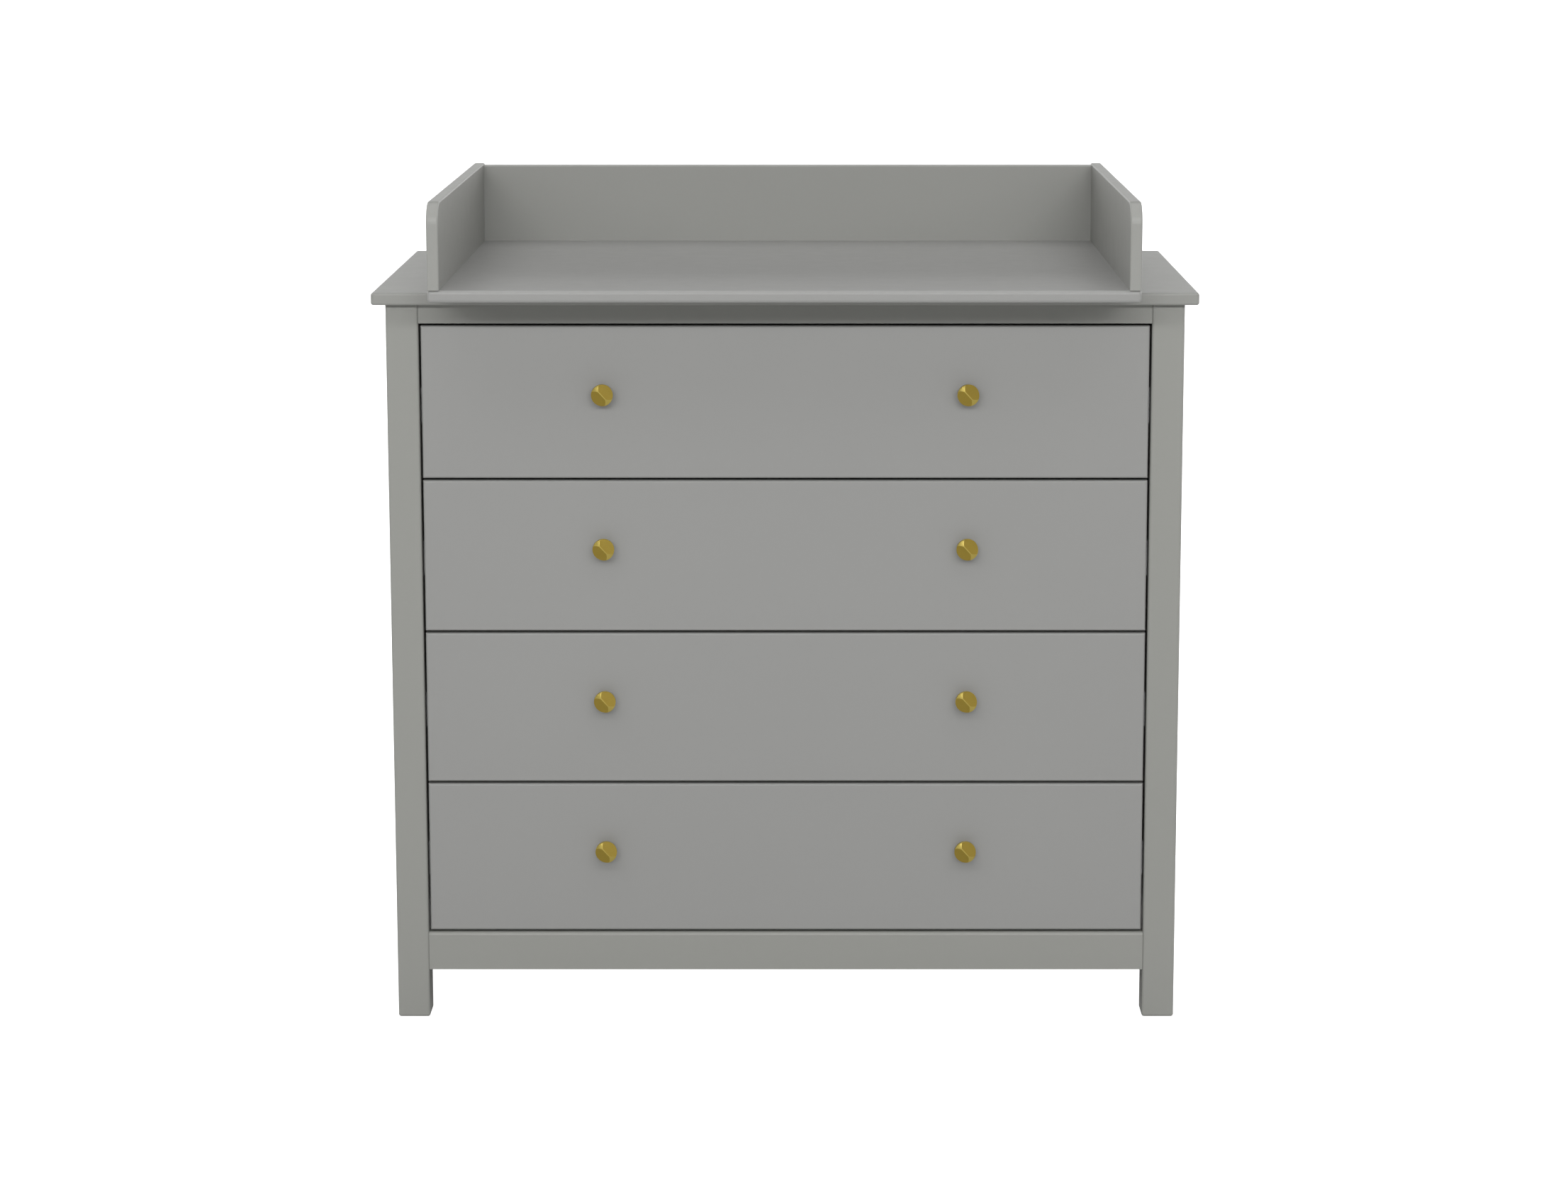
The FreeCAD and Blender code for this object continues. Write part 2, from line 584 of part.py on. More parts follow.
def tray_wall(sign):
    """A side wall with a quarter-round nose at its front and a small cut heel."""
    top = TRAY_FLOOR + TRAY_WALL_HEIGHT
    nose = TRAY_WALL_NOSE_R
    inner = sign * TRAY_INNER_X

    def at(y, z):
        return FreeCAD.Vector(inner, y, z)

    front_foot = at(TRAY_FRONT_Y, TRAY_FLOOR)
    nose_low = at(TRAY_FRONT_Y, top - nose)
    bulge = nose * (1 - math.sqrt(0.5))
    nose_middle = at(TRAY_FRONT_Y + bulge, top - bulge)
    nose_high = at(TRAY_FRONT_Y + nose, top)
    heel_high = at(BACK_Y - TRAY_WALL_HEEL, top)
    heel_low = at(BACK_Y, top - TRAY_WALL_HEEL)
    rear_foot = at(BACK_Y, TRAY_FLOOR)
    outline = [
        Part.makeLine(front_foot, nose_low),
        Part.Arc(nose_low, nose_middle, nose_high).toShape(),
        Part.makeLine(nose_high, heel_high),
        Part.makeLine(heel_high, heel_low),
        Part.makeLine(heel_low, rear_foot),
        Part.makeLine(rear_foot, front_foot),
    ]
    wall = Part.Face(Part.Wire(outline)).extrude(RIGHT * sign * TRAY_WALL_THICK)
    rounded = []
    for x in (inner, sign * TRAY_OUTER_X):
        for edge in edges_in(wall, x=x):
            bounds = edge.BoundBox
            at_foot = bounds.ZMax < TRAY_FLOOR + TOUCH
            at_rear = bounds.YMin > BACK_Y - TRAY_WALL_HEEL - TOUCH
            if not at_foot and not at_rear:
                rounded.append(edge)
    return wall.makeFillet(TRAY_WALL_EDGE_R, rounded)


# ---- Slides ----


def channel(sign, web, lip, half_height, middle_z):
    """A bent channel along Y: web and lip are distances in from the cabinet's side."""
    bend = math.copysign(SLIDE_SHEET, lip - web)
    inner_height = half_height - SLIDE_SHEET
    outline = [
        (web, -half_height),
        (lip, -half_height),
        (lip, -inner_height),
        (web + bend, -inner_height),
        (web + bend, inner_height),
        (lip, inner_height),
        (lip, half_height),
        (web, half_height),
        (web, -half_height),
    ]
    points = []
    for inset, rise in outline:
        x = sign * (LEG_INNER_X - inset)
        points.append(FreeCAD.Vector(x, SLIDE_FRONT_Y, middle_z + rise))
    return Part.Face(Part.makePolygon(points)).extrude(REARWARD * SLIDE_LENGTH)


def ball_cages(sign, start_y, middle_z, track_bottom, inset):
    """The two strips of caged balls that run above and below one member."""
    low = track_bottom + BALL_CLEARANCE
    high = track_bottom + BALL_TRACK - BALL_CLEARANCE
    x_range = (sign * (LEG_INNER_X - inset), sign * (LEG_INNER_X - inset - BALL_CAGE_WIDTH))
    y_range = (start_y, start_y + BALL_CAGE_LENGTH)
    return [box(x_range, y_range, (middle_z + way * low, middle_z + way * high)) for way in (-1, 1)]


def slide_heights():
    """The half heights of the cabinet, middle and drawer members."""
    step = SLIDE_SHEET + BALL_TRACK
    return [SLIDE_HEIGHT / 2 - step * index for index in range(3)]


def make_slide(number, sign, middle_z):
    cabinet_half, middle_half, drawer_half = slide_heights()
    cabinet = channel(sign, 0, CABINET_MEMBER_LIP, cabinet_half, middle_z)
    middle = channel(sign, MIDDLE_MEMBER_WEB, MIDDLE_MEMBER_LIP, middle_half, middle_z)
    drawer = channel(sign, SLIDE_WIDTH, DRAWER_MEMBER_LIP, drawer_half, middle_z)

    side_way = RIGHT * sign
    head_x = sign * (LEG_INNER_X - SLIDE_SHEET)
    for y in (SLIDE_FRONT_Y + SLIDE_SCREW_FRONT, SLIDE_MIDDLE_Y, SLIDE_BACK_Y - SLIDE_SCREW_REAR):
        add_short_screw("short_wood_screws", FreeCAD.Vector(head_x, y, middle_z), side_way)
    head_x = sign * (BOX_OUTER_X + SLIDE_SHEET)
    for y in (SLIDE_FRONT_Y + SLIDE_SCREW_REAR, SLIDE_BACK_Y - SLIDE_SCREW_REAR):
        add_short_screw(f"drawer_{number}_fasteners", FreeCAD.Vector(head_x, y, middle_z), side_way * -1)

    cage_inset = MIDDLE_MEMBER_WEB + SLIDE_SHEET
    rear_cages = ball_cages(sign, SLIDE_BACK_Y - BALL_CAGE_LENGTH, middle_z, middle_half, cage_inset)
    front_inset = DRAWER_MEMBER_LIP
    front_cages = ball_cages(sign, SLIDE_FRONT_Y, middle_z, drawer_half, front_inset)
    nodes.setdefault("slide_cabinet_members", []).append(drilled(cabinet))
    middle_node = nodes.setdefault(f"drawer_{number}_slide_middle_members", [])
    middle_node += [middle] + rear_cages + front_cages
    nodes.setdefault(f"drawer_{number}_slide_members", []).append(drilled(drawer))


# ---- Drawers ----


def knob_head_cutters():
    """The two sloping flats of a knob and the level top of the ridge between them."""
    slope = math.radians(KNOB_FLAT_SLOPE)
    turn = math.radians(KNOB_RIDGE_TURN)
    ridge_z = KNOB_PROJECTION - KNOB_RIDGE_DROP
    reach = 2 * KNOB_R
    along = FreeCAD.Vector(math.cos(turn), math.sin(turn), 0)
    level_z = ridge_z - KNOB_RIDGE_WIDTH / 2 * math.tan(slope)
    cutters = [box((-reach, reach), (-reach, reach), (level_z, level_z + reach))]
    for way in (-1, 1):
        cutter = box((-reach, reach), (-reach, reach), (ridge_z, ridge_z + reach))
        cutter.rotate(UP * ridge_z, along, way * KNOB_FLAT_SLOPE)
        cutters.append(cutter)
    return cutters


def knob():
    """A turned brass knob along +Z, standing on its foot and bored for its screw."""
    dome_drop = KNOB_DOME_R - math.sqrt(KNOB_DOME_R**2 - KNOB_R**2)
    rim_z = KNOB_PROJECTION - dome_drop
    half_r = KNOB_R / 2
    half_drop = KNOB_DOME_R - math.sqrt(KNOB_DOME_R**2 - half_r**2)
    throat_r = KNOB_RIM_BACK - KNOB_FOOT_THICK
    flare = min(throat_r, KNOB_R - KNOB_NECK_R)
    neck_end = KNOB_RIM_BACK - flare
    bend = flare * (1 - math.sqrt(0.5))

    def at(radius, height):
        return FreeCAD.Vector(radius, 0, height)

    outline = [
        Part.makeLine(at(0, 0), at(KNOB_FOOT_R, 0)),
        Part.makeLine(at(KNOB_FOOT_R, 0), at(KNOB_FOOT_R, KNOB_FOOT_THICK)),
        Part.makeLine(at(KNOB_FOOT_R, KNOB_FOOT_THICK), at(KNOB_NECK_R, KNOB_FOOT_THICK)),
        Part.makeLine(at(KNOB_NECK_R, KNOB_FOOT_THICK), at(KNOB_NECK_R, neck_end)),
        Part.Arc(
            at(KNOB_NECK_R, neck_end),
            at(KNOB_NECK_R + bend, KNOB_RIM_BACK - bend),
            at(KNOB_NECK_R + flare, KNOB_RIM_BACK),
        ).toShape(),
        Part.makeLine(at(KNOB_R, KNOB_RIM_BACK), at(KNOB_R, rim_z)),
        Part.Arc(
            at(KNOB_R, rim_z), at(half_r, KNOB_PROJECTION - half_drop), at(0, KNOB_PROJECTION)
        ).toShape(),
        Part.makeLine(at(0, KNOB_PROJECTION), at(0, 0)),
    ]
    if KNOB_NECK_R + flare < KNOB_R - TOUCH:
        outline.insert(5, Part.makeLine(at(KNOB_NECK_R + flare, KNOB_RIM_BACK), at(KNOB_R, KNOB_RIM_BACK)))
    turned = Part.Face(Part.Wire(outline)).revolve(FreeCAD.Vector(), UP, 360)
    bore = Part.makeCylinder(KNOB_SCREW_R + FIT, KNOB_BORE_DEPTH)
    return turned.cut(knob_head_cutters() + [bore])


def knob_screw():
    """Machine screw through the drawer front, with its pan head inside the drawer."""
    head = Part.makeCylinder(KNOB_SCREW_HEAD_R, KNOB_SCREW_HEAD, UP * -KNOB_SCREW_HEAD)
    head = head.makeFillet(KNOB_SCREW_HEAD / 2, edges_in(head, z=-KNOB_SCREW_HEAD))
    length = FRONT_THICK + KNOB_BORE_DEPTH - SCREW_END_ROOM
    screw = head.fuse(Part.makeCylinder(KNOB_SCREW_R, length))
    return screw.cut(cross_recess(KNOB_SCREW_HEAD_R, -KNOB_SCREW_HEAD))


def add_knobs(number, front_low):
    """Knobs face -Y; the ridge leans from upper left to lower right seen from the front."""
    z = front_low + FRONT_HEIGHT / 2 + KNOB_ABOVE_MIDDLE
    blank = knob()
    screw = knob_screw()
    knobs = []
    for x in (-KNOB_PITCH / 2, KNOB_PITCH / 2):
        turned = blank.copy()
        face_front = FreeCAD.Rotation(RIGHT, 90)
        turned.Placement = FreeCAD.Placement(FreeCAD.Vector(x, FRONT_FACE_Y, z), face_front)
        knobs.append(turned)
        inside = FreeCAD.Vector(x, FRONT_REAR_Y, z)
        hole = Part.makeCylinder(KNOB_SCREW_R + FIT, FRONT_THICK, inside, REARWARD * -1)
        fasten(f"drawer_{number}_fasteners", pointed(screw, inside, REARWARD * -1), hole)
    nodes[f"drawer_{number}_knobs"] = knobs


def join_drawer_box(number, box_low, base_low):
    """Cam locks to the front, screws into the back and under the base."""
    node = f"drawer_{number}_fasteners"
    half_board = BOX_BOARD_THICK / 2
    board_x = BOX_OUTER_X - half_board
    back_y = BOX_BACK_Y - half_board
    box_high = box_low + BOX_HEIGHT
    for sign in SIDES.values():
        for z in (box_low + DRAWER_JOINT_INSET, box_high - DRAWER_JOINT_INSET):
            joint = FreeCAD.Vector(sign * board_x, FRONT_REAR_Y, z)
            disc_size = (DRAWER_CAM_R, DRAWER_CAM_DEPTH)
            add_cam_lock(node, joint, REARWARD, RIGHT * sign, half_board, disc_size, DRAWER_CAM_BOLT_R)
        for z in (box_low + DRAWER_BACK_SCREW_INSET, box_high - DRAWER_BACK_SCREW_INSET):
            add_long_screw(node, FreeCAD.Vector(sign * BOX_OUTER_X, back_y, z), RIGHT * -sign)
    reach = BOX_INNER_X - BASE_SCREW_MARGIN
    for x in spread(BASE_SCREWS, -reach, reach):
        add_short_screw(node, FreeCAD.Vector(x, back_y, base_low), UP)


def make_drawer(number, front_low):
    box_low = front_low + BOX_BELOW_FRONT_EDGE
    box_high = box_low + BOX_HEIGHT
    base_low = box_low + BASE_RISE
    base_high = base_low + BASE_THICK
    base_x = BOX_INNER_X + BASE_GROOVE_DEPTH
    base_y = (FRONT_REAR_Y - BASE_GROOVE_DEPTH, BOX_BACK_Y)
    add_knobs(number, front_low)
    join_drawer_box(number, box_low, base_low)

    base = box((-base_x, base_x), base_y, (base_low, base_high))
    nodes[f"drawer_{number}_base"] = [drilled(base)]

    front = box(
        (-FRONT_HALF_WIDTH, FRONT_HALF_WIDTH),
        (FRONT_FACE_Y, FRONT_REAR_Y),
        (front_low, front_low + FRONT_HEIGHT),
    )
    front = front.makeFillet(FRONT_EDGE_R, edges_in(front, y=FRONT_FACE_Y))
    nodes[f"drawer_{number}_front"] = [drilled(front.cut(base))]

    side_z = (box_low, box_high)
    for side, sign in SIDES.items():
        board = box((sign * BOX_INNER_X, sign * BOX_OUTER_X), (FRONT_REAR_Y, BOX_BACK_Y), side_z)
        rims = []
        for x in (sign * BOX_INNER_X, sign * BOX_OUTER_X):
            rims += edges_in(board, x=x, z=box_high)
        board = board.makeFillet(BOX_EDGE_R, rims)
        nodes[f"drawer_{number}_side_{side}"] = [drilled(board.cut(base))]

    back_y = (BOX_BACK_Y - BOX_BOARD_THICK, BOX_BACK_Y)
    back = box((-BOX_INNER_X, BOX_INNER_X), back_y, (base_high, box_high - BOX_EDGE_R))
    nodes[f"drawer_{number}_back"] = [drilled(back)]


def main():
    step = FRONT_HEIGHT + FRONT_GAP
    lowest = BOTTOM_RAIL_TOP + FRONT_GAP
    front_lows = [lowest + step * (DRAWER_COUNT - 1 - index) for index in range(DRAWER_COUNT)]
    slide_zs = [low + BOX_BELOW_FRONT_EDGE + BOX_HEIGHT / 2 for low in front_lows]

    join_rails()
    join_side_panels()
    screw_back_panel()
    screw_worktop()
    screw_tray()
    for number, middle_z in enumerate(slide_zs, start=1):
        for sign in SIDES.values():
            make_slide(number, sign, middle_z)
    for number, front_low in enumerate(front_lows, start=1):
        make_drawer(number, front_low)
    make_battens(slide_zs)
    make_wall_brackets()
    make_legs()
    make_rails()
    make_panels()
    make_worktop()
    make_tray()

    os.makedirs("parts", exist_ok=True)
    for name, solids in nodes.items():
        shape = solids[0] if len(solids) == 1 else Part.makeCompound(solids)
        shape.exportStep(f"parts/{name}.step")


main()
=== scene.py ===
"""The grey changing dresser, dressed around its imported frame. Lengths are in metres.

The script follows the dresser as it is put together: the room, the painted carcass, its
back, battens and feet, the fasteners, the slides, the drawers and their knobs.
"""

import math

import bmesh
import bpy
from mathutils import Matrix, Vector


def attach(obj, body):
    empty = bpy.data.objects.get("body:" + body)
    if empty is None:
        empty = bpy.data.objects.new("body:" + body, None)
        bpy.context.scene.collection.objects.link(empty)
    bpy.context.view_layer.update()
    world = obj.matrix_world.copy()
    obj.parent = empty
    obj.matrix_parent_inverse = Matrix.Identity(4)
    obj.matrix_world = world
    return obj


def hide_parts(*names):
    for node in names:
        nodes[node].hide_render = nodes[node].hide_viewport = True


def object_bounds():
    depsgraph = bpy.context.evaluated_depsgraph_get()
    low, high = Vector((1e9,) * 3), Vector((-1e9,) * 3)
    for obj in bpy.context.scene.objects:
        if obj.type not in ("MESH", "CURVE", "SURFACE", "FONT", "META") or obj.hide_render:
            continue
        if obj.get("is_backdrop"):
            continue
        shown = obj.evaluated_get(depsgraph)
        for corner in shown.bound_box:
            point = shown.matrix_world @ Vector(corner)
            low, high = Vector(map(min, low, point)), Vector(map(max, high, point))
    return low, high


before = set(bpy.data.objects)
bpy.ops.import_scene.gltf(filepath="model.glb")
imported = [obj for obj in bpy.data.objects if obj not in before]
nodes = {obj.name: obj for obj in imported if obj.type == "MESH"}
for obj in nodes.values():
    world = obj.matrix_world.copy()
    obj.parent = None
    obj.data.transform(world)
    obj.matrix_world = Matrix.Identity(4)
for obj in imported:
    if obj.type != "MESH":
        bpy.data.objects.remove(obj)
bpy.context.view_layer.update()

# ---- The room ----
# A plain pale floor, a backdrop with a wing at either side, a lamp overhead, a soft box high
# ahead, and a strip box just high enough for the tray's lip to shade the rail below it. The
# camera stands 4.4 m ahead of the dresser's middle and 1.4 m up, and looks 9 degrees down.
camera_looks_down = 9.17
camera_data = bpy.data.cameras.new("camera")
camera_data.sensor_width = 36.0
camera_data.lens = 80.5
camera_data.shift_x = -0.0173
camera_data.shift_y = -0.09
camera = bpy.data.objects.new("camera", camera_data)
camera.location = (0.0315, -4.4, 1.3971)
camera.rotation_euler = (math.radians(90 - camera_looks_down), 0, 0)
bpy.context.scene.collection.objects.link(camera)
bpy.context.scene.camera = camera
bpy.context.scene.view_settings.view_transform = "Standard"

floor_reach = 200.0
quarters = ((-1, -1), (1, -1), (1, 1), (-1, 1))
floor_corners = [(x * floor_reach, y * floor_reach, 0) for x, y in quarters]
floor_mesh = bpy.data.meshes.new("floor")
floor_mesh.from_pydata(floor_corners, [], [(0, 1, 2, 3)])
floor = bpy.data.objects.new("floor", floor_mesh)
bpy.context.scene.collection.objects.link(floor)
floor_paper = bpy.data.materials.new("floor_paper")
floor_paper.use_nodes = True
paper_nodes = floor_paper.node_tree
paper_shader = paper_nodes.nodes["Principled BSDF"]
paper_shader.inputs["Base Color"].default_value = (0.6, 0.6, 0.6, 1)
paper_shader.inputs["Roughness"].default_value = 1.0
paper_shader.inputs["Specular IOR Level"].default_value = 0.0
paper_shader.inputs["Emission Color"].default_value = (1, 1, 1, 1)
floor.data.materials.append(floor_paper)
floor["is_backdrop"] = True

world = bpy.data.worlds.new("studio")
bpy.context.scene.world = world
world.use_nodes = True
world.node_tree.nodes["Background"].inputs["Color"].default_value = (1, 1, 1, 1)


def expose_to_white(tree, strength_socket, plain, for_camera):
    """One strength where the camera sees the surface, and its plain one for all that it lights."""
    exposure = tree.nodes.new("ShaderNodeMapRange")
    exposure.inputs["To Max"].default_value = for_camera
    if plain:
        tree.links.new(plain, exposure.inputs["To Min"])
    seen = tree.nodes.new("ShaderNodeLightPath").outputs["Is Camera Ray"]
    tree.links.new(seen, exposure.inputs["Value"])
    tree.links.new(exposure.outputs["Result"], strength_socket)


sky = world.node_tree
sky_direction = sky.nodes.new("ShaderNodeSeparateXYZ")
sky.links.new(sky.nodes.new("ShaderNodeTexCoord").outputs["Generated"], sky_direction.inputs[0])


def sky_maths(operation, *values):
    """A number worked out in the nodes of the sky."""
    worked = sky.nodes.new("ShaderNodeMath")
    worked.operation = operation
    for socket, value in zip(worked.inputs, values):
        if isinstance(value, bpy.types.NodeSocket):
            sky.links.new(value, socket)
        else:
            socket.default_value = value
    return worked.outputs[0]


# Where each panel starts and ends off centre, along and above, in a unit direction from the
# dresser, and how strong it is.
lamp_panels = {
    "fill": ((0.0, 1.0), (-1.0, 1.0), (0.0, 1.0), 0.2),
    "soft box ahead": ((0.0, 0.35), (-1.0, 0.0), (0.26, 0.36), 15.0),
    "backdrop": ((0.0, 0.35), (0.0, 1.0), (0.0, 0.25), 1.0),
    "wings of the backdrop": ((0.35, 1.0), (0.0, 1.0), (0.0, 0.25), 3.1),
    "lamp overhead": ((0.0, 1.0), (-1.0, 1.0), (0.67, 1.0), 1.0),
}
off_centre = sky_maths("ABSOLUTE", sky_direction.outputs["X"])
light = 0.0
for off, along, above, strength in lamp_panels.values():
    lit = strength
    for direction, (start, end) in (
        (off_centre, off),
        (sky_direction.outputs["Y"], along),
        (sky_direction.outputs["Z"], above),
    ):
        within = sky_maths("COMPARE", direction, (start + end) / 2, (end - start) / 2)
        lit = sky_maths("MULTIPLY", within, lit)
    light = sky_maths("ADD", lit, light)
backdrop_exposure = 1.05
floor_exposure = 0.95
expose_to_white(sky, sky.nodes["Background"].inputs["Strength"], light, backdrop_exposure)
expose_to_white(paper_nodes, paper_shader.inputs["Emission Strength"], None, floor_exposure)

strip_box = bpy.data.lights.new("strip_box", "AREA")
strip_box.shape = "RECTANGLE"
strip_box.size = 3.2
strip_box.size_y = 0.06
strip_box.energy = 13.0
strip_box_object = bpy.data.objects.new("strip_box", strip_box)
strip_box_object.location = (0.0, -1.5, 1.34)
strip_box_object.rotation_euler = (math.radians(60), 0, 0)
strip_box_object.visible_camera = False
strip_box_object.visible_glossy = False
bpy.context.scene.collection.objects.link(strip_box_object)

# ---- Painted carcass, drawer fronts and tray ----
# Solid wood legs and rails and fibreboard panels, sprayed with a satin grey lacquer. The
# lacquer levels to a fine orange peel, and on the legs and rails the grain shows faintly.
lacquer_satin = 0.38
lacquer_ior = 1.5
cloud_scale = 3.0
cloud_depth = 0.025
smear_scale = 40.0
smear_depth = 0.03
grain_height = 0.000012
across_grain = 500.0
down_grain = 9.0
board_grey = (0.262, 0.262, 0.2545, 1)
wood_grey = (0.261, 0.263, 0.2445, 1)
tray_grey = (0.264, 0.2655, 0.250, 1)


def node_tree(name, kind, inputs, outputs):
    """A node group with named inputs and outputs, and the nodes that stand for them."""
    tree = bpy.data.node_groups.new(name, kind)
    for label, socket_type, value in inputs:
        socket = tree.interface.new_socket(label, in_out="INPUT", socket_type=socket_type)
        if value is not None:
            socket.default_value = value
    for label, socket_type in outputs:
        tree.interface.new_socket(label, in_out="OUTPUT", socket_type=socket_type)
    return tree, tree.nodes.new("NodeGroupInput").outputs, tree.nodes.new("NodeGroupOutput").inputs


def add_node(tree, kind, inputs=None, **properties):
    """A node with its properties set, each input a plain value or another node's output."""
    made = tree.nodes.new(kind)
    for name, value in properties.items():
        setattr(made, name, value)
    for name, value in (inputs or {}).items():
        if isinstance(value, bpy.types.NodeSocket):
            tree.links.new(value, made.inputs[name])
        else:
            made.inputs[name].default_value = value
    return made.outputs


def maths(operation, first, second=0.0, third=0.0):
    """A number worked out in the tree in hand."""
    return add_node(tree, "ShaderNodeMath", {0: first, 1: second, 2: third}, operation=operation)[0]


def scaled(vector, factors):
    """A vector or a colour times another, in the tree in hand."""
    product = add_node(tree, "ShaderNodeVectorMath", {0: vector, 1: factors}, operation="MULTIPLY")
    return product["Vector"]


def spread(value, least, most):
    """A number from 0 to 1 spread between two others, in the tree in hand."""
    span = {"Value": value, "To Min": least, "To Max": most}
    return add_node(tree, "ShaderNodeMapRange", span)["Result"]


def noise(vector, scale, detail=2.0, roughness=0.5):
    """Clouds of 0 to 1 over a surface, in the tree in hand."""
    clouds = {"Vector": vector, "Scale": scale, "Detail": detail, "Roughness": roughness}
    return add_node(tree, "ShaderNodeTexNoise", clouds)["Fac"]


def mix_colours(factor, first, second):
    """Two colours mixed over a surface, in the tree in hand."""
    mixed = tree.nodes.new("ShaderNodeMix")
    mixed.data_type = "RGBA"
    tree.links.new(factor, mixed.inputs["Factor"])
    for name, colour in (("A", first), ("B", second)):
        socket = next(s for s in mixed.inputs if s.identifier == f"{name}_Color")
        tree.links.new(colour, socket)
    return next(s for s in mixed.outputs if s.identifier == "Result_Color")


def finished_material(name, group, settings, constants):
    """A material whose colour, roughness and bump come from a shader group with its own settings."""
    material = bpy.data.materials.new(name)
    material.use_nodes = True
    tree = material.node_tree
    shader = tree.nodes["Principled BSDF"]
    for socket, value in constants.items():
        shader.inputs[socket].default_value = value
    placed = tree.nodes.new("ShaderNodeGroup")
    placed.node_tree = group
    for socket, value in settings.items():
        placed.inputs[socket].default_value = value
    bump = tree.nodes.new("ShaderNodeBump")
    bump.inputs["Distance"].default_value = 1.0
    tree.links.new(placed.outputs["Colour"], shader.inputs["Base Color"])
    tree.links.new(placed.outputs["Roughness"], shader.inputs["Roughness"])
    tree.links.new(placed.outputs["Height"], bump.inputs["Height"])
    tree.links.new(bump.outputs["Normal"], shader.inputs["Normal"])
    return material


def finish_nodes(names, material):
    """Gives each of these CAD nodes one material."""
    for name in names:
        nodes[name].data.materials.clear()
        nodes[name].data.materials.append(material)


finish_outputs = [
    ("Colour", "NodeSocketColor"),
    ("Roughness", "NodeSocketFloat"),
    ("Height", "NodeSocketFloat"),
]
sprayed_lacquer, given, result = node_tree(
    "sprayed_lacquer",
    "ShaderNodeTree",
    [
        ("Colour", "NodeSocketColor", (0.29, 0.29, 0.27, 1)),
        ("Satin", "NodeSocketFloat", 0.4),
        ("Peel Width", "NodeSocketFloat", 0.0025),
        ("Peel Height", "NodeSocketFloat", 0.000008),
        ("Grain Run", "NodeSocketVector", (600.0, 600.0, 12.0)),
        ("Grain Height", "NodeSocketFloat", 0.0),
    ],
    finish_outputs,
)
tree = sprayed_lacquer
here = add_node(tree, "ShaderNodeTexCoord")["Object"]
cloud = spread(noise(here, cloud_scale), 1 - cloud_depth, 1 + cloud_depth)
tree.links.new(scaled(given["Colour"], cloud), result["Colour"])
peel = noise(here, maths("DIVIDE", 1.0, given["Peel Width"]), detail=1.0)
peel_rise = maths("MULTIPLY", peel, given["Peel Height"])
grain = noise(scaled(here, given["Grain Run"]), 1.0, detail=3.0)
grain_rise = maths("MULTIPLY", grain, given["Grain Height"])
tree.links.new(maths("ADD", peel_rise, grain_rise), result["Height"])
smear = spread(noise(here, smear_scale), -smear_depth, smear_depth)
tree.links.new(maths("ADD", given["Satin"], smear), result["Roughness"])

upright_grain = {"Grain Run": (across_grain, across_grain, down_grain), "Grain Height": grain_height}
level_grain = {"Grain Run": (down_grain, across_grain, across_grain), "Grain Height": grain_height}
lacquers = {}
for painted, grey, shown_grain in (
    ("board", board_grey, {}),
    ("tray", tray_grey, {}),
    ("legs", wood_grey, upright_grain),
    ("rails", wood_grey, level_grain),
):
    coat = {"Colour": grey, "Satin": lacquer_satin, **shown_grain}
    lacquers[painted] = finished_material(
        f"grey_lacquer_on_{painted}", sprayed_lacquer, coat, {"IOR": lacquer_ior}
    )

drawer_numbers = (1, 2, 3, 4)
sides = ("left", "right")
ends = ("front", "rear")
finish_nodes([f"{end}_leg_{side}" for end in ends for side in sides], lacquers["legs"])
finish_nodes([f"{level}_{end}_rail" for level in ("top", "bottom") for end in ends], lacquers["rails"])
finish_nodes(["tray_board"] + [f"side_panel_{side}" for side in sides], lacquers["board"])
finish_nodes(["worktop", "tray_back_wall"] + [f"tray_wall_{side}" for side in sides], lacquers["tray"])
finish_nodes([f"drawer_{number}_front" for number in drawer_numbers], lacquers["board"])

# ---- Back panel and drawer bases ----
# Thin hardboard with one pale lacquered face, pressed from matted fibre. The back is screwed to
# the rear legs and rails, and each base slides into grooves and is screwed up into its box.
pressed_board, given, result = node_tree(
    "pressed_board",
    "ShaderNodeTree",
    [
        ("Light", "NodeSocketColor", (0.6, 0.6, 0.57, 1)),
        ("Dark", "NodeSocketColor", (0.5, 0.5, 0.47, 1)),
        ("Fleck Width", "NodeSocketFloat", 0.004),
        ("Fleck Run", "NodeSocketVector", (1.0, 1.0, 1.0)),
        ("Gloss", "NodeSocketFloat", 0.5),
        ("Texture Height", "NodeSocketFloat", 0.00002),
    ],
    finish_outputs,
)
fleck_gloss = 0.06
tree = pressed_board
here = add_node(tree, "ShaderNodeTexCoord")["Object"]
fleck_scale = maths("DIVIDE", 1.0, given["Fleck Width"])
fleck = noise(scaled(here, given["Fleck Run"]), fleck_scale, detail=4.0, roughness=0.65)
tree.links.new(mix_colours(fleck, given["Light"], given["Dark"]), result["Colour"])
tree.links.new(maths("MULTIPLY", fleck, given["Texture Height"]), result["Height"])
gloss = maths("ADD", given["Gloss"], spread(fleck, -fleck_gloss, fleck_gloss))
tree.links.new(gloss, result["Roughness"])

hardboard = finished_material(
    "lacquered_hardboard",
    pressed_board,
    {"Light": (0.56, 0.555, 0.53, 1), "Dark": (0.47, 0.465, 0.44, 1), "Fleck Width": 0.003},
    {"IOR": 1.48},
)
finish_nodes(["back_panel"] + [f"drawer_{number}_base" for number in drawer_numbers], hardboard)

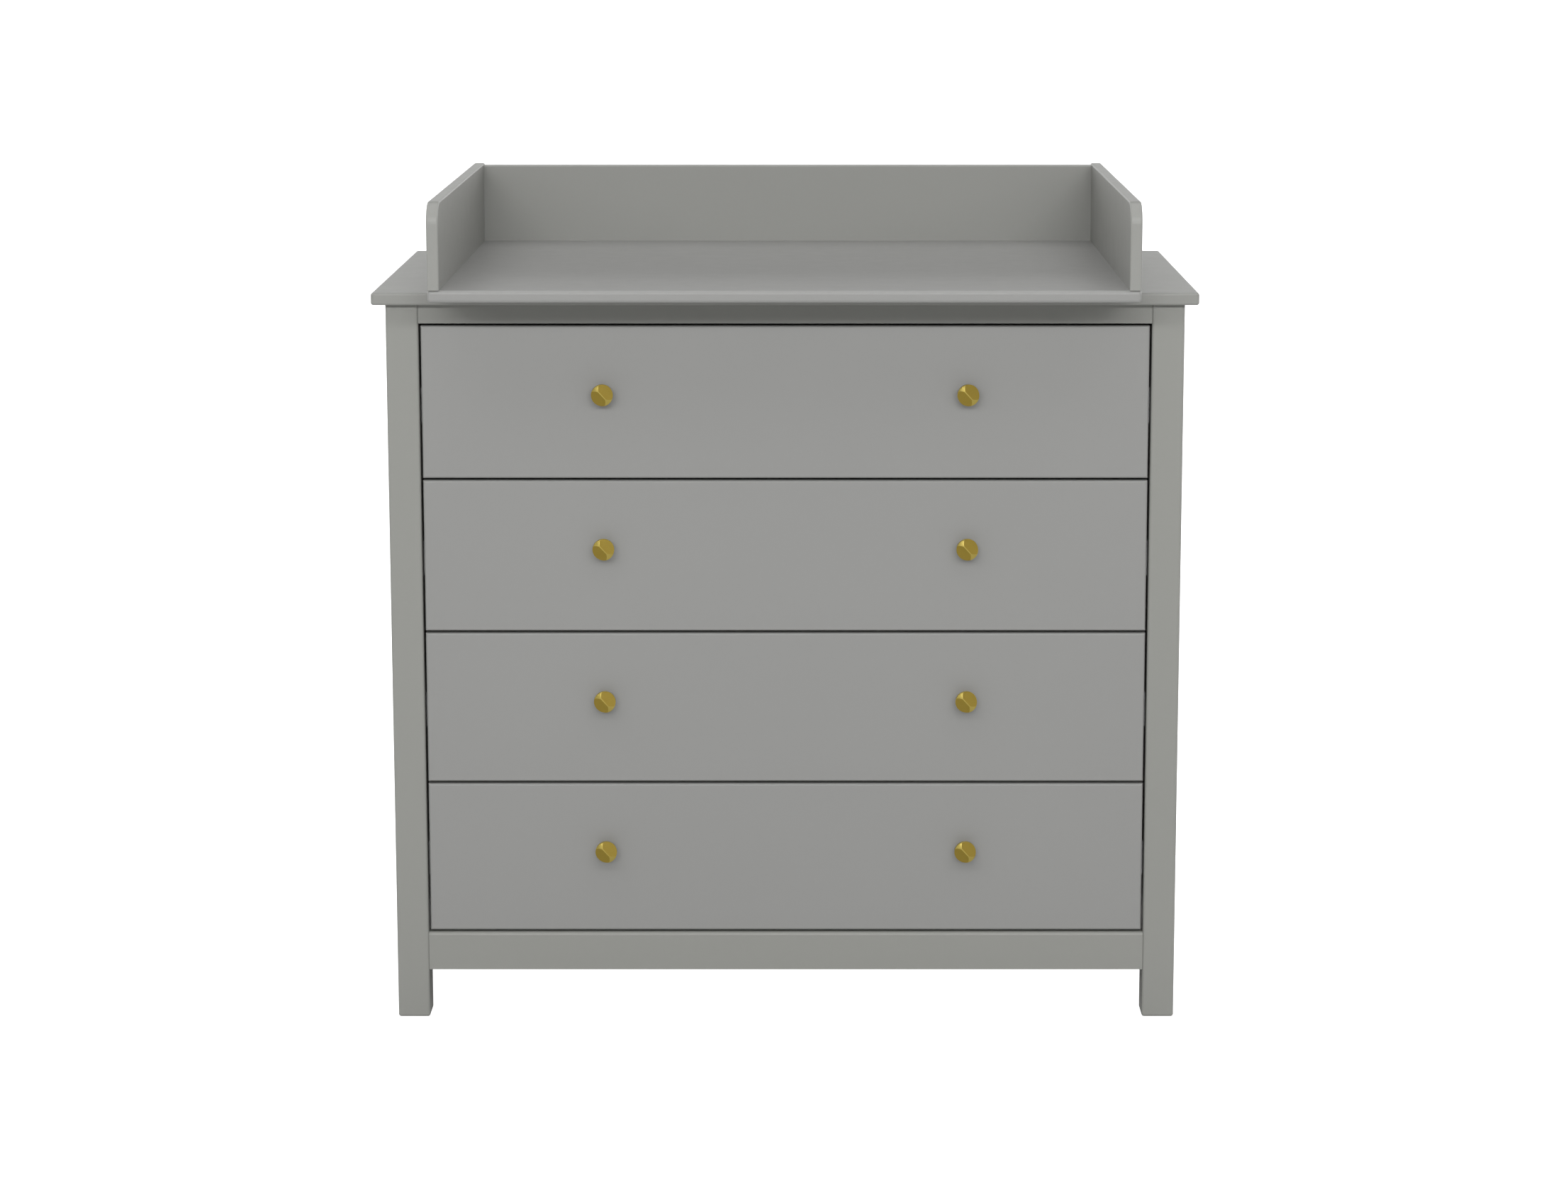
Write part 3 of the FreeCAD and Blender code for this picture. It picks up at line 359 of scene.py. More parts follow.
# ---- Drawer boxes ----
# Particleboard sides and backs wrapped in a pale grey foil with a fine linear print. Cam locks
# draw the sides to the front, and screws hold the back between them.
foil = finished_material(
    "foil_on_board",
    pressed_board,
    {
        "Light": (0.63, 0.625, 0.60, 1),
        "Dark": (0.55, 0.545, 0.52, 1),
        "Fleck Width": 0.01,
        "Fleck Run": (1.0, 0.12, 9.0),
        "Gloss": 0.42,
        "Texture Height": 0.00003,
    },
    {"IOR": 1.5},
)
box_pieces = ("side_left", "side_right", "back")
finish_nodes([f"drawer_{number}_{piece}" for number in drawer_numbers for piece in box_pieces], foil)

# ---- Slide battens and dowels ----
# Planed pine battens and fluted beech dowels, left bare. Both are sawn from the plank, so
# their growth rings run along the piece.
ring_stretch = (1.0, 0.06, 1.0)
fibre_run = (900.0, 25.0, 900.0)
fibre_share = 0.25
smoothest_wood = 0.55
roughest_wood = 0.7
sawn_wood, given, result = node_tree(
    "sawn_wood",
    "ShaderNodeTree",
    [
        ("Early Wood", "NodeSocketColor", (0.68, 0.5, 0.31, 1)),
        ("Late Wood", "NodeSocketColor", (0.5, 0.31, 0.15, 1)),
        ("Rings", "NodeSocketFloat", 160.0),
        ("Pith", "NodeSocketVector", (0.06, 0.0, 0.02)),
        ("Pore Height", "NodeSocketFloat", 0.00003),
    ],
    finish_outputs,
)
tree = sawn_wood
here = add_node(tree, "ShaderNodeTexCoord")["Object"]
from_pith = add_node(tree, "ShaderNodeVectorMath", {0: here, 1: given["Pith"]}, operation="ADD")["Vector"]
growth = {"Vector": scaled(from_pith, ring_stretch), "Scale": given["Rings"], "Distortion": 5.0}
growth.update({"Detail": 2.0, "Detail Scale": 0.4})
ring_shape = {"wave_type": "RINGS", "rings_direction": "Y", "wave_profile": "SAW"}
rings = add_node(tree, "ShaderNodeTexWave", growth, **ring_shape)["Fac"]
fibre = noise(scaled(here, fibre_run), 1.0, detail=3.0)
ring_and_fibre = maths("MULTIPLY_ADD", rings, fibre, fibre_share)
softened = {"Value": ring_and_fibre, "From Min": 0.1, "From Max": 1.1}
softened = add_node(tree, "ShaderNodeMapRange", softened)["Result"]
tree.links.new(mix_colours(softened, given["Early Wood"], given["Late Wood"]), result["Colour"])
tree.links.new(maths("MULTIPLY", fibre, given["Pore Height"]), result["Height"])
tree.links.new(spread(fibre, smoothest_wood, roughest_wood), result["Roughness"])

pine = finished_material("planed_pine", sawn_wood, {}, {"IOR": 1.45})
beech = finished_material(
    "bare_beech",
    sawn_wood,
    {"Early Wood": (0.66, 0.46, 0.28, 1), "Late Wood": (0.56, 0.36, 0.20, 1), "Rings": 400.0},
    {"IOR": 1.45},
)
finish_nodes(["slide_battens"], pine)
finish_nodes(["wood_dowels"], beech)

# ---- Foot glides ----
# Moulded nylon discs with a dished sole and a rounded rim, one under each leg. Each has a stem
# that is driven up into the wood, and it holds the leg just clear of the floor.
same_place = 1e-6
glide_edge_r = 0.0008
glide_dish = 0.0003
dish_share = 0.7
sole_share = 0.78


def solids(name):
    """The box and the points of each solid in a CAD node, read from a merged copy of its mesh."""
    merged = bmesh.new()
    merged.from_mesh(nodes[name].data)
    bmesh.ops.remove_doubles(merged, verts=merged.verts, dist=same_place)
    merged.verts.ensure_lookup_table()
    seen = set()
    found = []
    for start in merged.verts:
        if start.index in seen:
            continue
        seen.add(start.index)
        waiting = [start]
        points = []
        while waiting:
            vertex = waiting.pop()
            points.append(vertex.co.copy())
            for edge in vertex.link_edges:
                other = edge.other_vert(vertex)
                if other.index not in seen:
                    seen.add(other.index)
                    waiting.append(other)
        low = Vector([min(point[axis] for point in points) for axis in range(3)])
        high = Vector([max(point[axis] for point in points) for axis in range(3)])
        found.append((low, high, points))
    merged.free()
    return found


def turn(mesh, outline, place, segments=48):
    """Skins an outline of (radius, height) points turned about +Z; radius 0 is a pole."""
    rings = []
    for radius, height in outline:
        if radius == 0:
            rings.append([mesh.verts.new(place @ Vector((0, 0, height)))])
            continue
        angles = [2 * math.pi * index / segments for index in range(segments)]
        ring = [Vector((radius * math.cos(angle), radius * math.sin(angle), height)) for angle in angles]
        rings.append([mesh.verts.new(place @ point) for point in ring])
    for first, second in zip(rings, rings[1:]):
        for index in range(segments):
            after = (index + 1) % segments
            corners = [first[index % len(first)], first[after % len(first)]]
            corners += [second[after % len(second)], second[index % len(second)]]
            mesh.faces.new(list(dict.fromkeys(corners)))


def arc(centre, radius, start, end, steps=6):
    """Points of an arc in an outline, with its angles in degrees."""
    angles = [math.radians(start + (end - start) * step / steps) for step in range(steps + 1)]
    return [(centre[0] + radius * math.cos(a), centre[1] + radius * math.sin(a)) for a in angles]


def piece_from(mesh, name, material, smooth_below=30.0):
    """An object made from a bmesh, with faces out and edges sharper than the angle left hard."""
    bmesh.ops.recalc_face_normals(mesh, faces=mesh.faces)
    for face in mesh.faces:
        face.smooth = True
    for edge in mesh.edges:
        edge.smooth = edge.calc_face_angle(math.pi) < math.radians(smooth_below)
    data = bpy.data.meshes.new(name)
    mesh.to_mesh(data)
    mesh.free()
    data.materials.append(material)
    piece = bpy.data.objects.new(name, data)
    bpy.context.scene.collection.objects.link(piece)
    return piece


nylon = finished_material(
    "moulded_nylon",
    pressed_board,
    {
        "Light": (0.74, 0.73, 0.69, 1),
        "Dark": (0.70, 0.69, 0.65, 1),
        "Fleck Width": 0.0006,
        "Gloss": 0.45,
        "Texture Height": 0.000006,
    },
    {"IOR": 1.53, "Subsurface Weight": 0.1},
)
glides = bmesh.new()
for low, high, points in solids("foot_glides"):
    disc_r = (high.x - low.x) / 2
    disc_top = max(point.z for point in points if abs(point.x - low.x) < glide_dish)
    tip = [point.x for point in points if point.z > high.z - glide_dish]
    stem_r = (max(tip) - min(tip)) / 2
    dish_z = low.z + glide_dish
    sole = [(0, dish_z), (disc_r * dish_share, dish_z), (disc_r * sole_share, low.z)]
    rim = arc((disc_r - glide_edge_r, low.z + glide_edge_r), glide_edge_r, -90, 0)
    stem = [(disc_r, disc_top), (stem_r, disc_top), (stem_r, high.z - stem_r), (0, high.z)]
    turn(glides, sole + rim + stem, Matrix.Translation(((low.x + high.x) / 2, (low.y + high.y) / 2, 0)))
glides = piece_from(glides, "foot_glides_moulded", nylon)
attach(glides, "carcass")
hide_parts("foot_glides")

# ---- Screws ----
# Zinc-plated steel screws with a cross recess: pan heads in the slides, back, bases and wall
# brackets, sunk heads in the worktop, tray, battens and drawer backs, and a machine screw
# through each front into its knob.
stain_scale = 90.0
streak_shine = 0.06
drawn_metal, given, result = node_tree(
    "drawn_metal",
    "ShaderNodeTree",
    [
        ("Colour", "NodeSocketColor", (0.6, 0.61, 0.62, 1)),
        ("Stain", "NodeSocketColor", (0.52, 0.53, 0.54, 1)),
        ("Shine", "NodeSocketFloat", 0.3),
        ("Streak Run", "NodeSocketVector", (2500.0, 60.0, 2500.0)),
        ("Streak Height", "NodeSocketFloat", 0.000001),
    ],
    finish_outputs,
)
tree = drawn_metal
here = add_node(tree, "ShaderNodeTexCoord")["Object"]
patch = noise(here, stain_scale)
tree.links.new(mix_colours(patch, given["Colour"], given["Stain"]), result["Colour"])
streak = noise(scaled(here, given["Streak Run"]), 1.0)
tree.links.new(maths("MULTIPLY", streak, given["Streak Height"]), result["Height"])
shine = maths("ADD", given["Shine"], spread(streak, -streak_shine, streak_shine))
tree.links.new(shine, result["Roughness"])
zinc = finished_material("zinc_plating", drawn_metal, {}, {"Metallic": 1.0})

head_rings = 6
head_sides = 20
dome_fall = 0.22
dome_power = 3.0
recess_reach = 1.2
shank_rings = 10
shank_sides = 12
shank_in_head = 0.9
tip_share = 0.2
thread_sides = 8
ridge_sides = 3
cross_head_screw, given, result = node_tree(
    "cross_head_screw",
    "GeometryNodeTree",
    [
        ("Places", "NodeSocketGeometry", None),
        ("Head Radius", "NodeSocketFloat", 0.004),
        ("Head Height", "NodeSocketFloat", 0.002),
        ("Sunk", "NodeSocketFloat", 0.0),
        ("Shank Radius", "NodeSocketFloat", 0.002),
        ("Length", "NodeSocketFloat", 0.025),
        ("Tip Length", "NodeSocketFloat", 0.003),
        ("Thread Start", "NodeSocketFloat", 0.004),
        ("Thread Pitch", "NodeSocketFloat", 0.0015),
        ("Thread Depth", "NodeSocketFloat", 0.0004),
        ("Recess Width", "NodeSocketFloat", 0.0009),
        ("Recess Depth", "NodeSocketFloat", 0.0008),
        ("Finish", "NodeSocketMaterial", None),
    ],
    [("Pieces", "NodeSocketGeometry")],
)
tree = cross_head_screw


def upright(height):
    """A vector straight up the Z axis, in the tree in hand."""
    return add_node(tree, "ShaderNodeCombineXYZ", {"Z": height})["Vector"]


def rod(start, end, rings, sides, scale):
    """A closed round bar up the Z axis, whose radius is a field of its height."""
    line = {"Start": upright(start), "End": upright(end)}
    line = add_node(tree, "GeometryNodeCurvePrimitiveLine", line)["Curve"]
    steps = add_node(tree, "GeometryNodeResampleCurve", {"Curve": line, "Count": rings})["Curve"]
    section = {"Resolution": sides, "Radius": 1.0}
    section = add_node(tree, "GeometryNodeCurvePrimitiveCircle", section)["Curve"]
    swept = {"Curve": steps, "Profile Curve": section, "Scale": scale, "Fill Caps": True}
    return add_node(tree, "GeometryNodeCurveToMesh", swept)["Mesh"]


position = add_node(tree, "GeometryNodeInputPosition")["Position"]
height = add_node(tree, "ShaderNodeSeparateXYZ", {0: position})["Z"]
down_head = maths("DIVIDE", height, given["Head Height"])
towards_top = maths("POWER", maths("SUBTRACT", 1.0, down_head), dome_power)
dome = maths("MULTIPLY_ADD", towards_top, -dome_fall, 1.0)
cone = spread(down_head, 1.0, maths("DIVIDE", given["Shank Radius"], given["Head Radius"]))
head_r = maths("MULTIPLY", spread(given["Sunk"], dome, cone), given["Head Radius"])
head = rod(0.0, given["Head Height"], head_rings, head_sides, head_r)
arm_reach = maths("MULTIPLY", given["Head Radius"], recess_reach)
arm_depth = maths("MULTIPLY", given["Recess Depth"], 2.0)
for arm in ({"X": arm_reach, "Y": given["Recess Width"]}, {"X": given["Recess Width"], "Y": arm_reach}):
    arm_size = add_node(tree, "ShaderNodeCombineXYZ", {**arm, "Z": arm_depth})["Vector"]
    cutter = add_node(tree, "GeometryNodeMeshCube", {"Size": arm_size})["Mesh"]
    cut = {"Mesh 1": head, "Mesh 2": cutter}
    head = add_node(tree, "GeometryNodeMeshBoolean", cut, operation="DIFFERENCE", solver="EXACT")["Mesh"]

to_tip = maths("SUBTRACT", given["Length"], height)
taper = {"Value": to_tip, "From Max": given["Tip Length"], "To Min": tip_share, "To Max": 1.0}
taper = add_node(tree, "ShaderNodeMapRange", taper)["Result"]
core = maths("SUBTRACT", given["Shank Radius"], given["Thread Depth"])
under_head = maths("MULTIPLY", given["Head Height"], shank_in_head)
core_r = maths("MULTIPLY", taper, core)
shank = rod(under_head, given["Length"], shank_rings, shank_sides, core_r)
threaded = maths("SUBTRACT", given["Length"], given["Thread Start"])
turns = maths("DIVIDE", threaded, given["Thread Pitch"])
spiral = {"Resolution": thread_sides, "Rotations": turns, "Height": threaded}
spiral.update({"Start Radius": core, "End Radius": core})
helix = add_node(tree, "GeometryNodeCurveSpiral", spiral)["Curve"]
lift = {"Geometry": helix, "Translation": upright(given["Thread Start"])}
helix = add_node(tree, "GeometryNodeTransform", lift)["Geometry"]
drawn_in = add_node(tree, "ShaderNodeCombineXYZ", {"X": taper, "Y": taper, "Z": 1.0})["Vector"]
tapered = {"Geometry": helix, "Position": scaled(position, drawn_in)}
helix = add_node(tree, "GeometryNodeSetPosition", tapered)["Geometry"]
ridge = {"Resolution": ridge_sides, "Radius": given["Thread Depth"]}
ridge = add_node(tree, "GeometryNodeCurvePrimitiveCircle", ridge)["Curve"]
thread = {"Curve": helix, "Profile Curve": ridge, "Fill Caps": True}
thread = add_node(tree, "GeometryNodeCurveToMesh", thread)["Mesh"]


def set_in_place(parts):
    """Joins the parts, sets a copy at each place along its direction, and gives it the finish."""
    joined = tree.nodes.new("GeometryNodeJoinGeometry")
    for part in parts:
        tree.links.new(part, joined.inputs[0])
    into = add_node(tree, "GeometryNodeInputNamedAttribute", {"Name": "into"}, data_type="FLOAT_VECTOR")
    turned = {"Vector": into["Attribute"]}
    turned = add_node(tree, "FunctionNodeAlignRotationToVector", turned, axis="Z")["Rotation"]
    copies = {"Points": given["Places"], "Instance": joined.outputs[0], "Rotation": turned}
    copies = add_node(tree, "GeometryNodeInstanceOnPoints", copies)["Instances"]
    real = add_node(tree, "GeometryNodeRealizeInstances", {"Geometry": copies})["Geometry"]
    finish = {"Geometry": real, "Material": given["Finish"]}
    tree.links.new(add_node(tree, "GeometryNodeSetMaterial", finish)["Geometry"], result["Pieces"])


set_in_place([head, shank, thread])


def grown(name, tree, places, settings, material):
    """A piece that a tree grows at each (point, direction), turned into a plain mesh."""
    seeds = bpy.data.meshes.new(name)
    seeds.from_pydata([point for point, way in places], [], [])
    into = seeds.attributes.new("into", "FLOAT_VECTOR", "POINT")
    into.data.foreach_set("vector", [value for point, way in places for value in way])
    seed = bpy.data.objects.new(name, seeds)
    bpy.context.scene.collection.objects.link(seed)
    modifier = seed.modifiers.new(tree.name, "NODES")
    modifier.node_group = tree
    inputs = {item.name: item.identifier for item in tree.interface.items_tree if item.in_out == "INPUT"}
    for label, value in {**settings, "Finish": material}.items():
        modifier[inputs[label]] = value
    plain = bpy.data.meshes.new_from_object(seed.evaluated_get(bpy.context.evaluated_depsgraph_get()))
    bpy.data.objects.remove(seed)
    mesh = bmesh.new()
    mesh.from_mesh(plain)
    bpy.data.meshes.remove(plain)
    return piece_from(mesh, name, material)


end_within = 1e-5
size_within = 0.0003


def lie_of(low, high, points):
    """The worked end of a round solid, the way in from there, and its length and width."""
    spans = high - low
    unlike = [abs(spans[(axis + 1) % 3] - spans[(axis + 2) % 3]) for axis in range(3)]
    axis = unlike.index(min(unlike))
    at_low, at_high = (
        sum(abs(point[axis] - end[axis]) < end_within for point in points) for end in (low, high)
    )
    way = Vector()
    way[axis] = 1 if at_low > at_high else -1
    worked = (low + high) / 2
    worked[axis] = low[axis] if at_low > at_high else high[axis]
    return worked, way, spans[axis], spans[(axis + 1) % 3]


def lies(name, length, width):
    """Where a node's round solids of one length and width lie, as (point, direction)."""
    found = [lie_of(*solid) for solid in solids(name)]
    return [
        (worked, way)
        for worked, way, long, wide in found
        if abs(long - length) < size_within and abs(wide - width) < size_within
    ]


pan_head = {
    "Head Radius": 0.0032,
    "Head Height": 0.0014,
    "Shank Radius": 0.00175,
    "Length": 0.0134,
    "Thread Start": 0.0018,
    "Thread Pitch": 0.0014,
    "Thread Depth": 0.0004,
}
sunk_head = {
    "Head Radius": 0.004,
    "Head Height": 0.0022,
    "Sunk": 1.0,
    "Shank Radius": 0.002,
    "Length": 0.0248,
    "Thread Start": 0.0085,
    "Thread Pitch": 0.0018,
    "Thread Depth": 0.00045,
}
knob_screw = {
    "Head Radius": 0.004,
    "Head Height": 0.0024,
    "Shank Radius": 0.002,
    "Length": 0.0301,
    "Tip Length": 0.0004,
    "Thread Start": 0.0028,
    "Thread Pitch": 0.0007,
    "Thread Depth": 0.0002,
}


def screws(name, node, body, kind):
    """The screws of one kind in a CAD node of fasteners."""
    places = lies(node, kind["Length"], 2 * kind["Head Radius"])
    made = grown(name, cross_head_screw, places, kind, zinc)
    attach(made, body)
    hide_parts(node)


screws("pan_head_screws", "short_wood_screws", "carcass", pan_head)
screws("sunk_head_screws", "long_wood_screws", "carcass", sunk_head)
for number in drawer_numbers:
    for name, kind in (("pan_head", pan_head), ("sunk_head", sunk_head), ("knob", knob_screw)):
        screws(f"drawer_{number}_{name}_screws", f"drawer_{number}_fasteners", f"drawer_{number}", kind)

# ---- Cam locks ----
# Die-cast discs, sunk flush and turned with a screwdriver to draw in a threaded steel bolt:
# at each end of the four rails, and where each drawer's sides meet its front.
disc_bevel = 0.0004
disc_groove = 0.0006
cross_arm = 0.0016
cross_depth = 0.0025
cross_reach = 0.6
bolt_start = 0.5
bolt_root = 0.8
bolt_neck = 0.6
bolt_collar = 0.4
ball_length = 2.2
ball_shoulder = 0.9
ball_crown = 0.6


def prism(mesh, outline, place, length):
    """Skins a closed outline drawn out along its own Z."""
    ends = [[mesh.verts.new(place @ Vector((u, v, w))) for u, v in outline] for w in (0, length)]
    mesh.faces.new(ends[0])
    mesh.faces.new(reversed(ends[1]))
    for index in range(len(outline)):
        after = (index + 1) % len(outline)
        mesh.faces.new([ends[0][after], ends[0][index], ends[1][index], ends[1][after]])


def carve(mesh, cutter):
    """What is left of a mesh when another's space is cut out of it; both are used up."""
    blanks = []
    for part in (mesh, cutter):
        bmesh.ops.recalc_face_normals(part, faces=part.faces)
        data = bpy.data.meshes.new("blank")
        part.to_mesh(data)
        part.free()
        blanks.append(bpy.data.objects.new("blank", data))
        bpy.context.scene.collection.objects.link(blanks[-1])
    cut = blanks[0].modifiers.new("cut", "BOOLEAN")
    cut.object = blanks[1]
    left = bpy.data.meshes.new_from_object(blanks[0].evaluated_get(bpy.context.evaluated_depsgraph_get()))
    carved = bmesh.new()
    carved.from_mesh(left)
    for blank in blanks:
        bpy.data.objects.remove(blank)
    return carved


def facing(point, way):
    """The place of a shape made along +Z, set at a point along a direction."""
    return Matrix.Translation(point) @ Vector((0, 0, 1)).rotation_difference(way).to_matrix().to_4x4()


def cam_locks(name, node, body, disc, bolt):
    """disc and bolt are (length, width); each bolt's ball end lies towards the nearest disc."""
    depth, width = disc
    radius = width / 2
    face_r = radius - disc_bevel
    outline = [(0, 0), (face_r - disc_groove, 0), (face_r - disc_groove, disc_groove)]
    outline += [(face_r, disc_groove), (face_r, 0), (radius, disc_bevel)]
    outline += [(radius, depth - disc_bevel), (face_r, depth), (0, depth)]
    reach = radius * cross_reach
    half = cross_arm / 2
    quarter = [(reach, -half), (reach, half), (half, half)]
    quarter_turns = [Matrix.Rotation(math.pi / 2 * step, 2) for step in range(4)]
    cross = [turned @ Vector(point) for turned in quarter_turns for point in quarter]
    discs = bmesh.new()
    crosses = bmesh.new()
    mouths = lies(node, *disc)
    for mouth, way in mouths:
        turn(discs, outline, facing(mouth, way), segments=32)
        prism(crosses, cross, facing(mouth - way * cross_depth, way), 2 * cross_depth)
    locks = carve(discs, crosses)
    length, width = bolt
    radius = width / 2
    root_r = radius * bolt_root
    neck_r = radius * bolt_neck
    collar = length * bolt_collar
    ball = length - ball_length * radius
    outline = [(0, 0), (radius * bolt_start, 0), (root_r, radius), (root_r, collar - radius)]
    outline += [(radius, collar - radius), (radius, collar), (neck_r, collar), (neck_r, ball)]
    outline += [(radius * ball_shoulder, ball), (radius, length - radius)]
    outline += [(radius * ball_crown, length), (0, length)]
    for end, way in lies(node, *bolt):
        nearest = min(mouths, key=lambda found: (found[0] - end - way * length / 2).length)[0]
        if (nearest - end).length < (nearest - end - way * length).length:
            end, way = end + way * length, -way
        turn(locks, outline, facing(end, way), segments=16)
    locks = piece_from(locks, name, zinc)
    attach(locks, body)
    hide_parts(node)


cam_locks("rail_cams", "rail_cam_locks", "carcass", (0.012, 0.015), (0.0264, 0.006))
for number in drawer_numbers:
    node = f"drawer_{number}_fasteners"
    cam_locks(f"drawer_{number}_cams", node, f"drawer_{number}", (0.009, 0.012), (0.0279, 0.005))

# ---- Drawer slides ----
# Three channels rolled from zinc-plated strip, which run in each other on caged steel balls.
# The outer one is screwed to the battens and the inner one to the drawer's side.
shortest_channel = 0.3
strip_thick = 0.0012
bend_r = 0.0008
lip_r = 0.0003
slot_half = 0.0022
slot_length = 0.014
slot_pitch = 0.045
screw_hole_r = 0.0019
screw_hole_sides = 24
level_within = 0.001


def channel_outline(width, half):
    """A strip bent into a channel, as (distance from its web's outer face, height)."""
    inner_half = half - strip_thick
    outer_r = bend_r + strip_thick
    lower = [(width, -inner_half), (width, -half + lip_r), (width - lip_r, -half)]
    outer = arc((outer_r, -half + outer_r), outer_r, -90, -180)
    outer += arc((outer_r, half - outer_r), outer_r, 180, 90)
    upper = [(width - lip_r, half), (width, half - lip_r), (width, inner_half)]
    inner = arc((outer_r, half - outer_r), bend_r, 90, 180, steps=4)
    inner += arc((outer_r, -half + outer_r), bend_r, 180, 270, steps=4)
    return lower + outer + upper + inner


def rounded_slot(length, half):
    """The outline of a slot with round ends."""
    right = arc((length / 2 - half, 0), half, -90, 90, steps=8)
    return right + arc((half - length / 2, 0), half, 90, 270, steps=8)


def slide_members(name, node, body, inward_from_web, screw_places):
    """The channels of one node; inward_from_web is 1 where the web is their outer side, else -1."""
    channels = bmesh.new()
    holes = bmesh.new()
    last_angle = 360 - 360 / screw_hole_sides
    screw_hole = arc((0, 0), screw_hole_r, 0, last_angle, steps=screw_hole_sides - 1)
    slot = rounded_slot(slot_length, slot_half)
    for low, high, points in solids(node):
        if high.y - low.y < shortest_channel:
            continue
        side = math.copysign(1, low.x)
        way = -side * inward_from_web
        web_x = high.x if way < 0 else low.x
        middle = (low.z + high.z) / 2
        rearward = Matrix(((way, 0, 0, web_x), (0, 0, 1, low.y), (0, 1, 0, middle), (0, 0, 0, 1)))
        outline = channel_outline(high.x - low.x, (high.z - low.z) / 2)
        prism(channels, outline, rearward, high.y - low.y)
        cut_from = web_x - way * strip_thick
        through = Matrix(((0, 0, way, cut_from), (1, 0, 0, 0), (0, 1, 0, middle), (0, 0, 0, 1)))
        taken = [
            place.y for place, _ in screw_places
            if abs(place.z - middle) < level_within and place.x * side > 0
        ]
        for y in taken:
            prism(holes, screw_hole, Matrix.Translation((0, y, 0)) @ through, 3 * strip_thick)
        for step in range(1, int((high.y - low.y) / slot_pitch)):
            y = low.y + step * slot_pitch
            if all(abs(y - other) > slot_length for other in taken):
                prism(holes, slot, Matrix.Translation((0, y, 0)) @ through, 3 * strip_thick)
    members = piece_from(carve(channels, holes), name, zinc)
    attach(members, body)
    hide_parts(node)


pan_size = (pan_head["Length"], 2 * pan_head["Head Radius"])
carcass_screws = lies("short_wood_screws", *pan_size)
slide_members("slide_outer_members", "slide_cabinet_members", "carcass", 1, carcass_screws)
for number in drawer_numbers:
    drawer = f"drawer_{number}"
    drawer_screws = lies(f"{drawer}_fasteners", *pan_size)
    slide_members(f"{drawer}_slide_inner_members", f"{drawer}_slide_members", drawer, -1, drawer_screws)
    middle_node = f"{drawer}_slide_middle_members"
    slide_members(f"{drawer}_slide_channels", middle_node, f"{drawer}_slide_middle", 1, [])

# ---- Ball cages ----
# Hardened steel balls held at an even pitch in a thin steel strip. In each slide two rows run
# between the outer and the middle channel, and two between the middle and the inner one.
ball_pitch = 0.006
ball_segments = 8
ball_rings = 6
caged_balls, given, result = node_tree(
    "caged_balls",
    "GeometryNodeTree",
    [
        ("Places", "NodeSocketGeometry", None),
        ("Ball Radius", "NodeSocketFloat", 0.001),
        ("Pitch", "NodeSocketFloat", 0.006),
        ("Count", "NodeSocketInt", 25),
        ("Strip Width", "NodeSocketFloat", 0.003),
        ("Strip Thickness", "NodeSocketFloat", 0.0005),
        ("Finish", "NodeSocketMaterial", None),
    ],
    [("Pieces", "NodeSocketGeometry")],
)
tree = caged_balls
first_ball = upright(maths("DIVIDE", given["Pitch"], 2.0))
row = {"Count": given["Count"], "Start Location": first_ball, "Offset": upright(given["Pitch"])}
row = add_node(tree, "GeometryNodeMeshLine", row)["Mesh"]
ball = {"Segments": ball_segments, "Rings": ball_rings, "Radius": given["Ball Radius"]}
ball = add_node(tree, "GeometryNodeMeshUVSphere", ball)["Mesh"]
balls = add_node(tree, "GeometryNodeInstanceOnPoints", {"Points": row, "Instance": ball})["Instances"]
strip_length = maths("MULTIPLY", given["Pitch"], given["Count"])
strip_size = {"X": given["Strip Width"], "Y": given["Strip Thickness"], "Z": strip_length}
strip_size = add_node(tree, "ShaderNodeCombineXYZ", strip_size)["Vector"]
strip = add_node(tree, "GeometryNodeMeshCube", {"Size": strip_size})["Mesh"]
strip = {"Geometry": strip, "Translation": upright(maths("DIVIDE", strip_length, 2.0))}
strip = add_node(tree, "GeometryNodeTransform", strip)["Geometry"]
set_in_place([balls, strip])

for number in drawer_numbers:
    node = f"drawer_{number}_slide_middle_members"
    bars = [(low, high) for low, high, points in solids(node) if high.y - low.y < shortest_channel]
    low, high = bars[0]
    cage = {"Ball Radius": (high.z - low.z) / 2, "Pitch": ball_pitch, "Strip Width": high.x - low.x}
    cage["Count"] = round((high.y - low.y) / ball_pitch)
    starts = []
    for low, high in bars:
        starts.append((Vector(((low.x + high.x) / 2, low.y, (low.z + high.z) / 2)), (0, 1, 0)))
    cages = grown(f"drawer_{number}_ball_cages", caged_balls, starts, cage, zinc)
    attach(cages, f"drawer_{number}_slide_middle")
    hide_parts(node)

